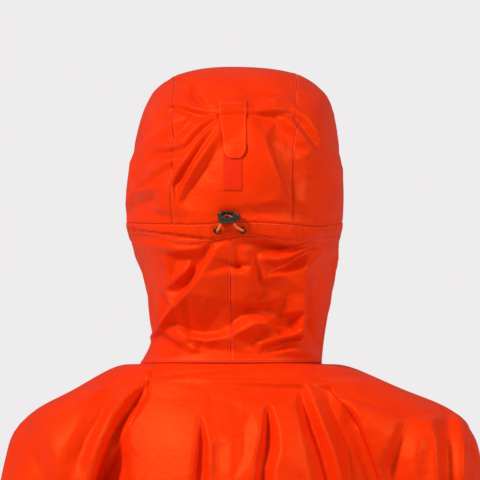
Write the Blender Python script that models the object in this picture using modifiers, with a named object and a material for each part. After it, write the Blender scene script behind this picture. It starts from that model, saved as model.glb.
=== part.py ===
"""Rain anorak, worn with the hood up: a hollow garment of cloth walls with its zip and hood drawcord.

Metres. +Z is up, the front faces -Y and the wearer's left is +X. The origin is on the wearer's neck,
level with the neck seam at the back. Every cloth piece is a wall between two grids of points: the
outer grid is a smooth loft through the sections in the tables below, raised and sunk along its
normals by the folds, and the inner grid lies one cloth thickness inside it.
"""
import math

import bmesh
import bpy
import numpy as np
from mathutils import Matrix, Vector

MM = 0.001
CLOTH = 1.5 * MM              # wall of one cloth piece
HEM_CLOTH = 2.4 * MM          # wall where cuffs, hem and hood edge are turned back
SEAM_GAP = 0.3 * MM           # between pieces that are sewn together
UNDERARM_GAP = 0.5 * MM       # more room where four seams meet
REST_GAP = 0.45 * MM          # between cloth and what lies on it
NECK_SEAT = 1.7 * MM          # how far the body's neck edge runs in under the hood's edge
NECK_MIDDLE_Y = -0.008        # middle of the neck ring, from which it is drawn in

# ---------------------------------------------------------------- sections of the hood
# Level sections, from the neck seam up to the casing. Each is half a ring: from the centre back
# (back_y, back_z) round the widest point (left or right, side_y) to the edge (edge_x, edge_y, edge_z),
# which is the zip below the chin and the face opening above it.
HOOD_LEVEL_COLUMNS = (
    "back_z", "edge_z", "back_y", "edge_y", "edge_x", "left", "right", "side_y", "turn_in")
HOOD_LEVELS = (
    (0.000, -0.045, 0.0720, -0.0880, 0.0055, 0.0970, 0.0960, -0.008, 1.00),    # neck seam
    (0.022, -0.008, 0.0715, -0.1130, 0.0055, 0.0850, 0.0985, -0.010, 1.00),
    (0.045, 0.028, 0.0780, -0.1290, 0.0055, 0.0870, 0.1025, -0.013, 1.00),     # top of the zip
    (0.070, 0.052, 0.0870, -0.1400, 0.0360, 0.0900, 0.1080, -0.014, 0.80),
    (0.098, 0.080, 0.0985, -0.1460, 0.0640, 0.0960, 0.1120, -0.010, 0.50),
    (0.126, 0.119, 0.1090, -0.1485, 0.0800, 0.1075, 0.1155, -0.006, 0.30),     # casing, lower edge
    (0.148, 0.148, 0.1155, -0.1500, 0.0860, 0.1110, 0.1180, -0.005, 0.20),     # casing, upper edge
)
# Fan sections of the crown, in planes that turn about a line across the temples. Each runs from the
# crown (reach) over the widest point (left or right, side_reach) to the face edge.
CROWN_HINGE_Y = -0.160
CROWN_HINGE_Z = 0.148
CROWN_COLUMNS = (
    "angle", "reach", "left", "right", "side_reach", "edge_reach", "edge_x", "full_left", "full_right")
CROWN_FAN = (
    (8.0, 0.2840, 0.1115, 0.1195, 0.155, 0.0110, 0.087, 0.57, 0.57),
    (17.0, 0.2870, 0.1090, 0.1190, 0.152, 0.0125, 0.087, 0.60, 0.60),
    (26.0, 0.2800, 0.1050, 0.1165, 0.146, 0.0145, 0.087, 0.64, 0.65),
    (35.0, 0.2625, 0.1015, 0.1150, 0.135, 0.0170, 0.087, 0.67, 0.71),
    (45.0, 0.2300, 0.0990, 0.1130, 0.120, 0.0195, 0.086, 0.69, 0.76),
    (55.0, 0.1960, 0.0970, 0.1105, 0.103, 0.0220, 0.086, 0.68, 0.76),
    (67.0, 0.1600, 0.0950, 0.1050, 0.085, 0.0250, 0.086, 0.65, 0.70),
    (80.0, 0.1300, 0.0920, 0.0980, 0.067, 0.0280, 0.086, 0.61, 0.63),
    (91.0, 0.1140, 0.0900, 0.0930, 0.056, 0.0300, 0.086, 0.58, 0.58),          # brim
)
HOOD_ROUND = 0.58             # fullness of the level sections
SIDE_SHARE = 0.5              # share of a hood section's run that lies behind its widest point
CENTRE_SHARE = 0.175          # share of that run covered by half the hood's centre strip
CASING_ROW = 5                # section at the casing's lower edge
CROWN_ROW = 6                 # section at the casing's upper edge
CROWN_TURN_IN = 0.1           # how far the crown's sections turn in towards the face edge
EDGE_DROP_POWER = 3           # the neck seam falls towards the chin as this power of the share

# ---------------------------------------------------------------- sections of the body and sleeves
# Level sections from under the neck seam to the hem. Above the underarm the seam point is on the
# raglan seam and below it on the side seam. dip is how much lower the section is at the front.
BODY_COLUMNS = (
    "z", "dip", "back_y", "front_y", "seam_x", "seam_back_y", "seam_front_y", "turn",
    "centre_pull", "seam_pull", "lean")
BODY = (
    (-0.005, 0.046, 0.0770, -0.0890, 0.0835, 0.0530, -0.0580, 34, 0.030, 0.030, -0.0010),
    (-0.018, 0.043, 0.0860, -0.0940, 0.0890, 0.0665, -0.0680, 26, 0.032, 0.030, -0.0040),
    (-0.032, 0.040, 0.0950, -0.1000, 0.0970, 0.0755, -0.0740, 22, 0.034, 0.033, -0.0080),
    (-0.048, 0.036, 0.1040, -0.1070, 0.1080, 0.0825, -0.0790, 24, 0.038, 0.036, -0.0125),
    (-0.075, 0.026, 0.1170, -0.1170, 0.1220, 0.0860, -0.0820, 32, 0.045, 0.040, -0.0125),
    (-0.105, 0.016, 0.1270, -0.1270, 0.1340, 0.0830, -0.0800, 42, 0.055, 0.042, -0.0125),
    (-0.140, 0.007, 0.1340, -0.1360, 0.1470, 0.0720, -0.0720, 56, 0.070, 0.046, -0.0100),
    (-0.175, 0.002, 0.1375, -0.1430, 0.1590, 0.0540, -0.0540, 70, 0.085, 0.056, -0.0055),
    (-0.200, 0.000, 0.1390, -0.1470, 0.1670, 0.0310, -0.0310, 80, 0.095, 0.068, -0.0015),
    (-0.215, 0.000, 0.1395, -0.1490, 0.1700, 0.0000, 0.0000, 90, 0.100, 0.080, 0.0000),   # underarm
    (-0.228, 0.000, 0.1400, -0.1500, 0.1640, 0.0000, 0.0000, 90, 0.100, 0.082, 0.0000),
    (-0.265, 0.000, 0.1405, -0.1510, 0.1620, 0.0000, 0.0000, 90, 0.100, 0.083, 0.0000),
    (-0.330, 0.000, 0.1400, -0.1510, 0.1660, 0.0000, 0.0000, 90, 0.102, 0.083, 0.0000),
    (-0.410, 0.000, 0.1380, -0.1490, 0.1720, 0.0000, 0.0000, 90, 0.105, 0.082, 0.0000),
    (-0.490, 0.000, 0.1380, -0.1490, 0.1780, 0.0000, 0.0000, 90, 0.108, 0.082, 0.0000),
    (-0.570, 0.000, 0.1400, -0.1510, 0.1850, 0.0000, 0.0000, 90, 0.112, 0.084, 0.0000),
    (-0.650, 0.000, 0.1435, -0.1550, 0.1920, 0.0000, 0.0000, 90, 0.116, 0.086, 0.0000),
    (-0.695, 0.000, 0.1460, -0.1580, 0.1960, 0.0000, 0.0000, 90, 0.118, 0.087, 0.0000),
    (-0.720, 0.000, 0.1470, -0.1590, 0.1970, 0.0000, 0.0000, 90, 0.118, 0.087, 0.0000),    # hem
)
UNDERARM_ROW = 10             # section of the underarm point, counting the neck ring as 0
# Sleeve sections at the same levels down to the underarm, from the back seam point round the arm's
# outside (out_x, mid_y) to the front seam point; then tube sections down to the cuff.
RAGLAN_COLUMNS = ("out_x", "mid_y", "start_turn", "start_pull", "out_pull")
RAGLAN = (
    (0.1180, -0.006, 34, 0.022, 0.028),
    (0.1480, -0.004, 24, 0.030, 0.038),
    (0.1755, -0.002, 16, 0.042, 0.046),
    (0.2125, 0.000, 6, 0.052, 0.052),
    (0.2420, 0.000, -8, 0.060, 0.064),
    (0.2520, 0.000, -22, 0.062, 0.074),
    (0.2565, 0.000, -36, 0.064, 0.080),
    (0.2600, 0.000, -52, 0.066, 0.084),
    (0.2625, 0.000, -70, 0.074, 0.086),
    (0.2650, 0.000, -90, 0.086, 0.087),
)
SLEEVE_COLUMNS = ("z", "in_x", "out_x", "mid_y", "pull")
SLEEVE = (
    (-0.228, 0.1770, 0.2660, 0.000, 0.0860),
    (-0.265, 0.1850, 0.2720, -0.001, 0.0830),
    (-0.325, 0.1930, 0.2800, -0.003, 0.0780),
    (-0.385, 0.2000, 0.2860, -0.008, 0.0740),
    (-0.450, 0.2110, 0.2940, -0.020, 0.0690),
    (-0.520, 0.2240, 0.3020, -0.036, 0.0630),
    (-0.590, 0.2370, 0.3090, -0.052, 0.0570),
    (-0.620, 0.2420, 0.3120, -0.059, 0.0550),
    (-0.645, 0.2440, 0.3130, -0.062, 0.0545),                                   # cuff
)
BACK_SEAM_SHARE = 0.31        # where the neck ring meets the raglan seams, as shares of its run
FRONT_SEAM_SHARE = 0.69

# ---------------------------------------------------------------- folds
# Each fold is a trough (height under 0) or ridge along a straight stretch, seen square on from one
# side: across is x for back and front and y for left and right. width is its half width.
FOLD_COLUMNS = ("side", "across_a", "z_a", "across_b", "z_b", "width", "height")
FOLD_RIM = 0.7                # how strongly a fold's sides rise against its middle
FOLD_LEAD = 0.15              # share of its length that a fold runs on past each end
FOLD_FADE = 0.35              # share of its length over which it fades there
FOLD_FACING = (0.15, 0.45)    # a fold starts where the cloth faces its side this much, and grows
FOLDS = (
    # tuck under the crown, on each side of the tab, with the cloth bulging over it
    ("back", -0.022, 0.259, -0.070, 0.262, 0.008, -0.0060),
    ("back", 0.022, 0.258, 0.042, 0.261, 0.007, -0.0050),
    ("back", 0.040, 0.261, 0.070, 0.271, 0.008, -0.0050),
    ("back", -0.026, 0.276, -0.072, 0.281, 0.011, 0.0055),
    ("back", 0.018, 0.273, 0.052, 0.281, 0.011, 0.0045),
    # folds that fan out below the tuck
    ("back", 0.016, 0.250, 0.050, 0.170, 0.009, -0.0035),
    ("back", 0.028, 0.252, 0.060, 0.200, 0.008, 0.0030),
    ("back", -0.038, 0.238, -0.060, 0.168, 0.009, -0.0035),
    ("back", -0.050, 0.250, -0.094, 0.212, 0.010, 0.0035),
    ("back", 0.066, 0.225, 0.096, 0.170, 0.011, -0.0035),
    # folds of the neck part
    ("back", 0.022, 0.124, 0.050, 0.078, 0.010, -0.0060),
    ("back", 0.050, 0.078, 0.080, 0.030, 0.010, -0.0060),
    ("back", 0.040, 0.112, 0.078, 0.062, 0.009, 0.0040),
    ("back", -0.078, 0.100, -0.074, 0.020, 0.010, -0.0090),
    ("back", -0.040, 0.110, -0.060, 0.050, 0.011, 0.0040),
    ("back", -0.012, 0.095, -0.030, 0.040, 0.010, -0.0030),
    ("left", 0.030, 0.120, -0.070, 0.030, 0.013, -0.0060),
    ("left", -0.020, 0.120, -0.100, 0.060, 0.012, 0.0045),
    ("left", 0.020, 0.245, -0.080, 0.180, 0.014, -0.0040),
    ("right", 0.030, 0.120, -0.075, 0.035, 0.013, -0.0060),
    ("right", -0.025, 0.120, -0.105, 0.060, 0.012, 0.0045),
    ("right", 0.010, 0.240, -0.090, 0.190, 0.014, -0.0040),
    # shoulders and back
    ("back", 0.127, -0.030, 0.161, -0.104, 0.015, -0.0050),
    ("back", 0.085, -0.030, 0.110, -0.105, 0.013, 0.0050),
    ("back", 0.032, -0.060, 0.040, -0.170, 0.017, -0.0045),
    ("back", -0.037, -0.045, -0.050, -0.165, 0.018, -0.0050),
    ("back", -0.080, -0.028, -0.104, -0.110, 0.011, -0.0060),
    ("back", -0.112, -0.030, -0.143, -0.058, 0.012, 0.0060),
    ("back", -0.143, -0.058, -0.163, -0.110, 0.012, 0.0060),
    ("back", -0.194, -0.060, -0.168, -0.115, 0.012, -0.0060),
    ("back", -0.211, -0.062, -0.214, -0.140, 0.010, 0.0045),
    ("back", 0.190, -0.062, 0.182, -0.150, 0.012, 0.0045),
    ("back", 0.000, -0.150, 0.010, -0.300, 0.020, 0.0050),
    ("back", 0.090, -0.190, 0.020, -0.360, 0.020, -0.0060),
    ("back", -0.100, -0.180, -0.045, -0.380, 0.021, -0.0060),
    ("back", 0.120, -0.330, 0.090, -0.600, 0.022, 0.0060),
    ("back", -0.110, -0.400, -0.120, -0.700, 0.022, -0.0060),
    ("back", 0.030, -0.430, 0.040, -0.710, 0.022, -0.0060),
    ("back", -0.040, -0.470, -0.030, -0.710, 0.022, 0.0060),
    # front
    ("front", 0.100, -0.120, 0.060, -0.300, 0.018, -0.0060),
    ("front", -0.105, -0.110, -0.055, -0.290, 0.018, -0.0060),
    ("front", 0.130, -0.250, 0.090, -0.450, 0.020, 0.0050),
    ("front", -0.120, -0.270, -0.100, -0.500, 0.020, 0.0060),
    ("front", 0.050, -0.420, 0.070, -0.700, 0.022, -0.0060),
    ("front", -0.040, -0.450, -0.060, -0.700, 0.022, -0.0070),
    ("front", 0.000, -0.380, 0.010, -0.650, 0.020, 0.0050),
    # sleeves, creased inside the elbow and above the cuff
    ("left", 0.050, -0.320, -0.050, -0.370, 0.014, -0.0060),
    ("left", 0.040, -0.410, -0.060, -0.390, 0.014, -0.0050),
    ("left", 0.030, -0.200, -0.040, -0.260, 0.015, 0.0050),
    ("left", 0.000, -0.480, -0.050, -0.560, 0.013, -0.0050),
    ("right", 0.050, -0.330, -0.050, -0.380, 0.014, -0.0060),
    ("right", 0.045, -0.420, -0.060, -0.395, 0.014, -0.0050),
    ("right", 0.035, -0.190, -0.040, -0.250, 0.015, 0.0050),
    ("right", -0.005, -0.490, -0.060, -0.560, 0.013, -0.0050),
    ("back", 0.205, -0.260, 0.262, -0.340, 0.013, -0.0055),
    ("back", -0.205, -0.270, -0.262, -0.345, 0.013, -0.0055),
    ("back", 0.222, -0.370, 0.280, -0.430, 0.013, -0.0050),
    ("back", -0.222, -0.380, -0.280, -0.430, 0.013, -0.0050),
    ("front", 0.205, -0.340, 0.275, -0.360, 0.012, -0.0060),
    ("front", -0.205, -0.345, -0.275, -0.365, 0.012, -0.0060),
    ("front", 0.215, -0.420, 0.285, -0.400, 0.012, -0.0060),
    ("front", -0.215, -0.425, -0.285, -0.405, 0.012, -0.0060),
)
SAME_POINT = 0.02 * MM        # neighbouring pieces share a point that is closer than this
CALM_START = 0.003            # folds are flat this close to the neck seam and the casing
CALM_REACH = 0.012            # and have their full height this much further away
CALM_SAMPLES = 120
GATHER_COUNT = 26             # gathers along the casing, each side of the centre back
GATHER_HEIGHT = 0.6 * MM
CASING_SWELL = 1.6 * MM       # how far the casing stands out between its two stitch lines

# ---------------------------------------------------------------- tab, eyelets, cord and lock
TAB_TOP_Z = 0.2685
TAB_END_Z = 0.2090
TAB_LEFT_TOP = 0.0135
TAB_LEFT_LOW = 0.0073
TAB_RIGHT = -0.0160
PATCH_TOP_Z = 0.2200
PATCH_END_Z = 0.1770
PATCH_LEFT = 0.0073
PATCH_RIGHT = -0.0114
TRIM_THICK = 1.0 * MM
TAB_GAP = 0.65 * MM           # under the tab where nothing lies between it and the crown
EYELET_X = {"left": 0.0137, "right": -0.0123}
EYELET_Z = 0.1365
EYELET_RADIUS = 3.8 * MM
EYELET_HOLE = 2.1 * MM
EYELET_THICK = 1.1 * MM
EYELET_SIDES = 7
EYELET_STEPS = 16
CORD_RADIUS = 1.35 * MM
CORD_START = 1.0 * MM         # the cord begins this far out of the casing, inside the eyelet
CORD_POINTS = 25
CORD_LEFT_OUT = (-0.0005, 0.0035, 0.0005)     # where the left leg bends, from its start
CORD_RIGHT_OUT = (0.0010, 0.0035, 0.0002)
CORD_LOOP = (                 # the loop inside the lock, from its centre
    (0.0065, -0.0010, -0.0070), (0.0055, 0.0000, -0.0010), (0.0000, 0.0000, 0.0025),
    (-0.0055, 0.0000, -0.0010), (-0.0070, -0.0010, -0.0070))
LOCK_X = 0.0035
LOCK_Z = 0.1500
LOCK_WIDE = 19.0 * MM
LOCK_TALL = 13.0 * MM
LOCK_DEEP = 9.0 * MM
LOCK_BEVEL = 2.2 * MM
LOCK_CLEAR = 1.2 * MM         # between the lock's back and the casing
LOCK_SEAT_UP = 2.0 * MM       # that gap is measured this far above the lock's middle
WINDOW_SIZE = (0.0105, 0.0080, 0.0050)        # cut in the lock's back face, with the loop behind it
WINDOW_UP = 2.2 * MM
WINDOW_BEVEL = 0.8 * MM
CORD_ROOM = 0.35 * MM         # round the cord in the lock's channel
BUTTON_RADIUS = 3.6 * MM
BUTTON_LONG = 4.2 * MM
BUTTON_SIDES = 20
WELD = 0.01 * MM              # points closer than this are one point
EYELET_MERGE = 0.02 * MM

# ---------------------------------------------------------------- zip
ZIP_HALF_SLOT = 5.5 * MM      # half the gap between the cloth edges
ZIP_END_ROW = 12              # body section at the foot of the zip
CHIN_ROW = 2                  # hood section at the top of the zip
TAPE_THICK = 1.0 * MM
TAPE_HALF = 14.0 * MM         # half the two tapes' width
CHAIN_FOOT = 2.5 * MM         # the chain starts this far above the foot of the slot
CHAIN_HALF = 2.6 * MM
CHAIN_THICK = 1.5 * MM
SLIDER_LONG = 11.0 * MM
SLIDER_HALF = 4.4 * MM
SLIDER_PLATE = 1.3 * MM
RAIL_WIDE = 1.2 * MM
SLIDER_DROP = 15.0 * MM       # slider's middle below the chain's top, along the chain
BAIL_WIDE = 1.6 * MM
BAIL_BAR = 1.1 * MM
BAIL_HOLE = 2.2 * MM
BAIL_Z = 1.0 * MM             # bail's middle above the slider's
JOIN = 0.2 * MM               # boxes of one piece run this far into each other
RAIL_LOW = -1.4 * MM          # the slider's rails reach down beside the chain
PULL_BAR = 1.3 * MM
PULL_ARM = 1.2 * MM
PULL_WIDE = 6.0 * MM
PULL_LONG = 24.0 * MM
PULL_CLEAR = 0.4 * MM         # between the pull's arms and the bail
PULL_EYE = 3.4 * MM           # from the hinge line to where the pull's plate begins

SHELL_COLOUR = (0.86, 0.045, 0.006)
TRIM_COLOUR = (0.80, 0.050, 0.010)
CORD_COLOUR = (0.83, 0.12, 0.02)
LOCK_COLOUR = (0.050, 0.045, 0.040)
METAL_COLOUR = (0.16, 0.12, 0.09)
ZIP_COLOUR = (0.55, 0.035, 0.010)


# ---------------------------------------------------------------- curves and lofts
def table(columns, rows):
    """Rows of a table as one array for each named column."""
    return {name: np.array(values, dtype=float) for name, values in zip(columns, zip(*rows))}


def bezier(p0, p1, p2, p3, t):
    """Points of cubic curves at t, for control points of shape (..., 1, axes) and t of shape (n, 1)."""
    s = 1.0 - t
    return s ** 3 * p0 + 3 * s * s * t * p1 + 3 * s * t * t * p2 + t ** 3 * p3


def smooth(knots, values, at):
    """Smooth run through values at their knots: cubic pieces whose slopes are three-point averages."""
    gaps = np.diff(knots)
    shape = (-1,) + (1,) * (values.ndim - 1)
    slopes = np.diff(values, axis=0) / gaps.reshape(shape)
    inner = (slopes[:-1] * gaps[1:].reshape(shape) + slopes[1:] * gaps[:-1].reshape(shape))
    inner = inner / (gaps[:-1] + gaps[1:]).reshape(shape)
    tangents = np.concatenate([slopes[:1], inner, slopes[-1:]])
    cell = np.clip(np.searchsorted(knots, at, side="right") - 1, 0, len(gaps) - 1)
    gap = gaps[cell].reshape(shape)
    t = ((at - knots[cell]) / gaps[cell]).reshape(shape)
    return ((2 * t ** 3 - 3 * t ** 2 + 1) * values[cell] + (t ** 3 - 2 * t ** 2 + t) * gap * tangents[cell]
            + (3 * t ** 2 - 2 * t ** 3) * values[cell + 1] + (t ** 3 - t ** 2) * gap * tangents[cell + 1])


def run_length(points):
    """Distance along a line of points, from 0 at its first point."""
    return np.concatenate([[0.0], np.cumsum(np.linalg.norm(np.diff(points, axis=0), axis=1))])


def loft(sections, rows, knots):
    """Grid of points: sections (n, columns, 3) run through smoothly at the given fractional row numbers."""
    return smooth(knots, sections, np.interp(rows, np.arange(len(knots)), knots))


def pick_rows(steps):
    """Fractional row numbers that split each interval between sections into its count of equal steps."""
    rows = [np.arange(count) / count + interval for interval, count in steps]
    return np.concatenate(rows + [[steps[-1][0] + 1.0]])


def hood_sections(shares, side):
    """All hood sections at the girth shares 0 (centre back) to 1 (edge); side is 1 left, -1 right."""
    level = table(HOOD_LEVEL_COLUMNS, HOOD_LEVELS)
    fan = table(CROWN_COLUMNS, CROWN_FAN)
    width_name = "left" if side > 0 else "right"
    angle = np.radians(np.concatenate([np.zeros(len(HOOD_LEVELS)), fan["angle"]]))[:, None]
    hinge_y = CROWN_HINGE_Y
    reach = np.concatenate([level["back_y"] - hinge_y, fan["reach"]])
    width = np.concatenate([level[width_name], fan[width_name]])
    side_reach = np.concatenate([level["side_y"] - hinge_y, fan["side_reach"]])
    edge_reach = np.concatenate([level["edge_y"] - hinge_y, fan["edge_reach"]])
    edge_x = np.concatenate([level["edge_x"], fan["edge_x"]])
    turn = np.concatenate([level["turn_in"], np.full(len(CROWN_FAN), CROWN_TURN_IN)])
    full = np.concatenate([np.full(len(HOOD_LEVELS), HOOD_ROUND), fan["full_" + width_name]])

    def pairs(out, along):
        return np.stack([out, along], axis=-1)[:, None, :]

    back = bezier(
        pairs(0 * reach, reach), pairs(full * width, reach),
        pairs(width, side_reach + full * (reach - side_reach)), pairs(width, side_reach),
        np.clip(shares / SIDE_SHARE, 0, 1)[:, None])
    fore = side_reach - edge_reach
    front = bezier(
        pairs(width, side_reach), pairs(width, side_reach - HOOD_ROUND * fore),
        pairs(edge_x + turn * HOOD_ROUND * (width - edge_x), edge_reach + (1 - turn) * HOOD_ROUND * fore),
        pairs(edge_x, edge_reach),
        np.clip((shares - SIDE_SHARE) / (1 - SIDE_SHARE), 0, 1)[:, None])
    flat = np.where((shares <= SIDE_SHARE)[:, None], back, front)
    out, along = flat[..., 0], flat[..., 1]
    drop = np.concatenate([level["back_z"] - level["edge_z"], np.zeros(len(CROWN_FAN))])[:, None]
    base = np.concatenate([level["back_z"], np.full(len(CROWN_FAN), CROWN_HINGE_Z)])[:, None]
    y = hinge_y + along * np.cos(angle)
    z = base + along * np.sin(angle) - drop * shares ** EDGE_DROP_POWER
    return np.stack([side * out, y, z], axis=-1)


def neck_ring(shares, side):
    """Points of the body's neck edge under the hood's lower edge, a cloth's width further in."""
    ring = hood_sections(shares, side)[0]
    middle = np.array([0.0, NECK_MIDDLE_Y, 0.0])
    outward = (ring - middle) * (1, 1, 0)
    outward /= np.linalg.norm(outward, axis=1, keepdims=True)
    inner = ring - NECK_SEAT * outward
    inner[:, 0] = np.where(shares >= 1, side * ZIP_HALF_SLOT, inner[:, 0])
    return inner


def body_half(across, side, face):
    """Sections of the back (face 1) or front (-1), at 0 (centre) to 1 (seam), on the side 1 or -1."""
    body = table(BODY_COLUMNS, BODY)
    centre_y = body["back_y"] if face > 0 else body["front_y"]
    seam_y = body["seam_back_y"] if face > 0 else body["seam_front_y"]
    turn = np.radians(body["turn"])

    def pairs(x, y):
        return np.stack([x, y], axis=-1)[:, None, :]

    flat = bezier(
        pairs(0 * centre_y, centre_y), pairs(body["centre_pull"], centre_y),
        pairs(body["seam_x"] - body["seam_pull"] * np.cos(turn),
              seam_y + face * body["seam_pull"] * np.sin(turn)),
        pairs(body["seam_x"], seam_y), across[:, None])
    x, y = flat[..., 0], flat[..., 1]
    fall = np.clip(y / body["front_y"][:, None], 0, None) ** 2
    z = body["z"][:, None] - body["dip"][:, None] * fall
    sections = np.stack([side * x + body["lean"][:, None] * across, y, z], axis=-1)
    if face > 0:
        ring = neck_ring(across * BACK_SEAM_SHARE, side)
    else:
        ring = neck_ring(1 - across * (1 - FRONT_SEAM_SHARE), side)
    return np.concatenate([ring[None], sections])


def sleeve_sections(around, side):
    """Sections of a sleeve at 0 (back seam) over 0.5 (outside) to 1 (front seam), neck to cuff."""
    body = table(BODY_COLUMNS, BODY)
    raglan = table(RAGLAN_COLUMNS, RAGLAN)
    tube = table(SLEEVE_COLUMNS, SLEEVE)
    upper = len(RAGLAN)

    def column(top, low):
        return np.concatenate([top, low])

    z = column(body["z"][:upper], tube["z"])
    dip = column(body["dip"][:upper], 0 * tube["z"])
    front_y = column(body["front_y"][:upper], -np.ones(len(SLEEVE)))
    lean = column(body["lean"][:upper], 0 * tube["z"])
    seam_x = column(body["seam_x"][:upper], tube["in_x"])
    back_y = column(body["seam_back_y"][:upper], tube["mid_y"])
    fore_y = column(body["seam_front_y"][:upper], tube["mid_y"])
    out_x = column(raglan["out_x"], tube["out_x"])
    mid_y = column(raglan["mid_y"], tube["mid_y"])
    turn = np.radians(column(raglan["start_turn"], np.full(len(SLEEVE), -90.0)))
    start_pull = column(raglan["start_pull"], tube["pull"])
    out_pull = column(raglan["out_pull"], tube["pull"])

    def pairs(x, y):
        return np.stack([x, y], axis=-1)[:, None, :]

    def half(seam_y, face, t):
        return bezier(
            pairs(seam_x, seam_y),
            pairs(seam_x + start_pull * np.cos(turn), seam_y - face * start_pull * np.sin(turn)),
            pairs(out_x, mid_y + face * out_pull), pairs(out_x, mid_y), t[:, None])

    back = half(back_y, 1, np.clip(around * 2, 0, 1))
    front = half(fore_y, -1, np.clip(2 - around * 2, 0, 1))
    flat = np.where((around <= 0.5)[:, None], back, front)
    x, y = flat[..., 0], flat[..., 1]
    fall = np.clip(y / front_y[:, None], 0, None) ** 2
    sections = np.stack([side * x + lean[:, None], y, z[:, None] - dip[:, None] * fall], axis=-1)
    ring = neck_ring(BACK_SEAM_SHARE + around * (FRONT_SEAM_SHARE - BACK_SEAM_SHARE), side)
    return np.concatenate([ring[None], sections])


# ---------------------------------------------------------------- folds and normals
def grid_normals(points):
    """Sum of face normals at each point of a grid; columns times rows points outwards."""
    across = np.cross(points[1:, 1:] - points[:-1, :-1], points[1:, :-1] - points[:-1, 1:])
    normals = np.zeros_like(points)
    for rows in (slice(None, -1), slice(1, None)):
        for columns in (slice(None, -1), slice(1, None)):
            normals[rows, columns] += across
    return normals


def shared_normals(sheets):
    """Unit normals of all grids, summed where points of neighbouring pieces coincide."""
    names = list(sheets)
    points = np.concatenate([sheets[name].reshape(-1, 3) for name in names])
    sums = np.concatenate([grid_normals(sheets[name]).reshape(-1, 3) for name in names])
    keys = np.round(points / SAME_POINT).astype(np.int64)
    groups = np.unique(keys, axis=0, return_inverse=True)[1].ravel()
    totals = np.zeros((groups.max() + 1, 3))
    np.add.at(totals, groups, sums)
    totals /= np.linalg.norm(totals, axis=1, keepdims=True)
    normals = totals[groups]
    result = {}
    start = 0
    for name in names:
        count = sheets[name].shape[0] * sheets[name].shape[1]
        result[name] = normals[start:start + count].reshape(sheets[name].shape)
        start += count
    return result


def soft_step(share):
    """0 to 1 with a level start and end."""
    share = np.clip(share, 0, 1)
    return share * share * (3 - 2 * share)


def fold_height(points, normals):
    """Height of all folds at points: along each stretch a trough or ridge with a low rim at its sides.

    The cross profile is (1 - rim r^2) exp(-r^2) with r the distance over the half width; the ends
    fade out, and a fold acts only where the cloth faces its side."""
    facings = {"back": normals[..., 1], "front": -normals[..., 1],
               "left": normals[..., 0] * (points[..., 0] > 0),
               "right": -normals[..., 0] * (points[..., 0] < 0)}
    height = np.zeros(points.shape[:-1])
    for row in FOLDS:
        fold = dict(zip(FOLD_COLUMNS, row))
        axis = 0 if fold["side"] in ("back", "front") else 1
        run = np.array([fold["across_b"] - fold["across_a"], fold["z_b"] - fold["z_a"]])
        length = np.linalg.norm(run)
        step = np.stack([points[..., axis] - fold["across_a"], points[..., 2] - fold["z_a"]], axis=-1)
        along = step @ run / length ** 2
        aside = (step[..., 0] * run[1] - step[..., 1] * run[0]) / length
        ratio = (aside / fold["width"]) ** 2
        fade = soft_step((along + FOLD_LEAD) / FOLD_FADE) * soft_step((1 + FOLD_LEAD - along) / FOLD_FADE)
        weight = np.clip((facings[fold["side"]] - FOLD_FACING[0]) / FOLD_FACING[1], 0, 1)
        height += fold["height"] * (1 - FOLD_RIM * ratio) * np.exp(-ratio) * fade * weight
    return height


def calm_near_seams(points):
    """0 on the neck seam and on the casing's two edges, rising to 1 a little away from them."""
    lines = [hood_sections(np.linspace(0, 1, CALM_SAMPLES), side)[row]
             for side in (1, -1) for row in (0, CASING_ROW, CROWN_ROW)]
    flat = points.reshape(-1, 1, 3)
    gap = np.min([np.min(np.linalg.norm(flat - line[None], axis=2), axis=1) for line in lines], axis=0)
    return soft_step((gap.reshape(points.shape[:-1]) - CALM_START) / CALM_REACH)


def hood_knots():
    """Run of the hood's sections along the centre back, shared by all its pieces."""
    return run_length(hood_sections(np.array([0.0]), 1)[:, 0])


def body_knots():
    """Run of the body's sections along the back seam, shared by back, front and sleeves."""
    return run_length(body_half(np.array([1.0]), 1, 1)[:, 0])


def sleeve_knots():
    """Run of the sleeve's sections: the body's down to the underarm, then along the sleeve's outside."""
    upper = body_knots()[:UNDERARM_ROW + 1]
    outside = run_length(sleeve_sections(np.array([0.5]), 1)[UNDERARM_ROW:, 0])
    return np.concatenate([upper, upper[-1] + outside[1:]])


# ---------------------------------------------------------------- grids of the cloth pieces
SIDE_NAMES = ((1, "left"), (-1, "right"))
# How many steps each interval between two sections is split into: (interval, steps)
BODY_STEPS = [(0, 1), (1, 1), (2, 1), (3, 1), (4, 2), (5, 2), (6, 2), (7, 2), (8, 1), (9, 1), (10, 1),
              (11, 1), (12, 2), (13, 2), (14, 2), (15, 2), (16, 2), (17, 1), (18, 1)]
SLEEVE_STEPS = BODY_STEPS[:11] + [(11, 1), (12, 2), (13, 2), (14, 2), (15, 2), (16, 2), (17, 1), (18, 1)]
NECK_STEPS = [(0, 2), (1, 2), (2, 2), (3, 2), (4, 2)]
CROWN_STEPS = [(6, 4), (7, 4), (8, 5), (9, 3), (10, 2), (11, 1), (12, 2), (13, 1), (14, 1)]
BACK_CELLS = 8                # cells from the centre to a seam
SLEEVE_CELLS = 12
NECK_SIDE_CELLS = 6
CROWN_SIDE_CELLS = 12
CROWN_HALF_CELLS = 6
SLOT_SHARE = 0.055            # first column of the front's grid, later moved to the slot's edge


def both_sides(half):
    """Grid from left to right through the centre: half(side) grids run from the centre outwards."""
    left = half(1)[:, ::-1]
    right = half(-1)
    return np.concatenate([left, right[:, 1:]], axis=1)


def front_columns():
    """Shares across half the front: the zip slot's edge, then even steps to the seam."""
    even = SLOT_SHARE + (1 - SLOT_SHARE) * np.linspace(0, 1, BACK_CELLS + 1)
    return np.concatenate([[0.0], even])


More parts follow.
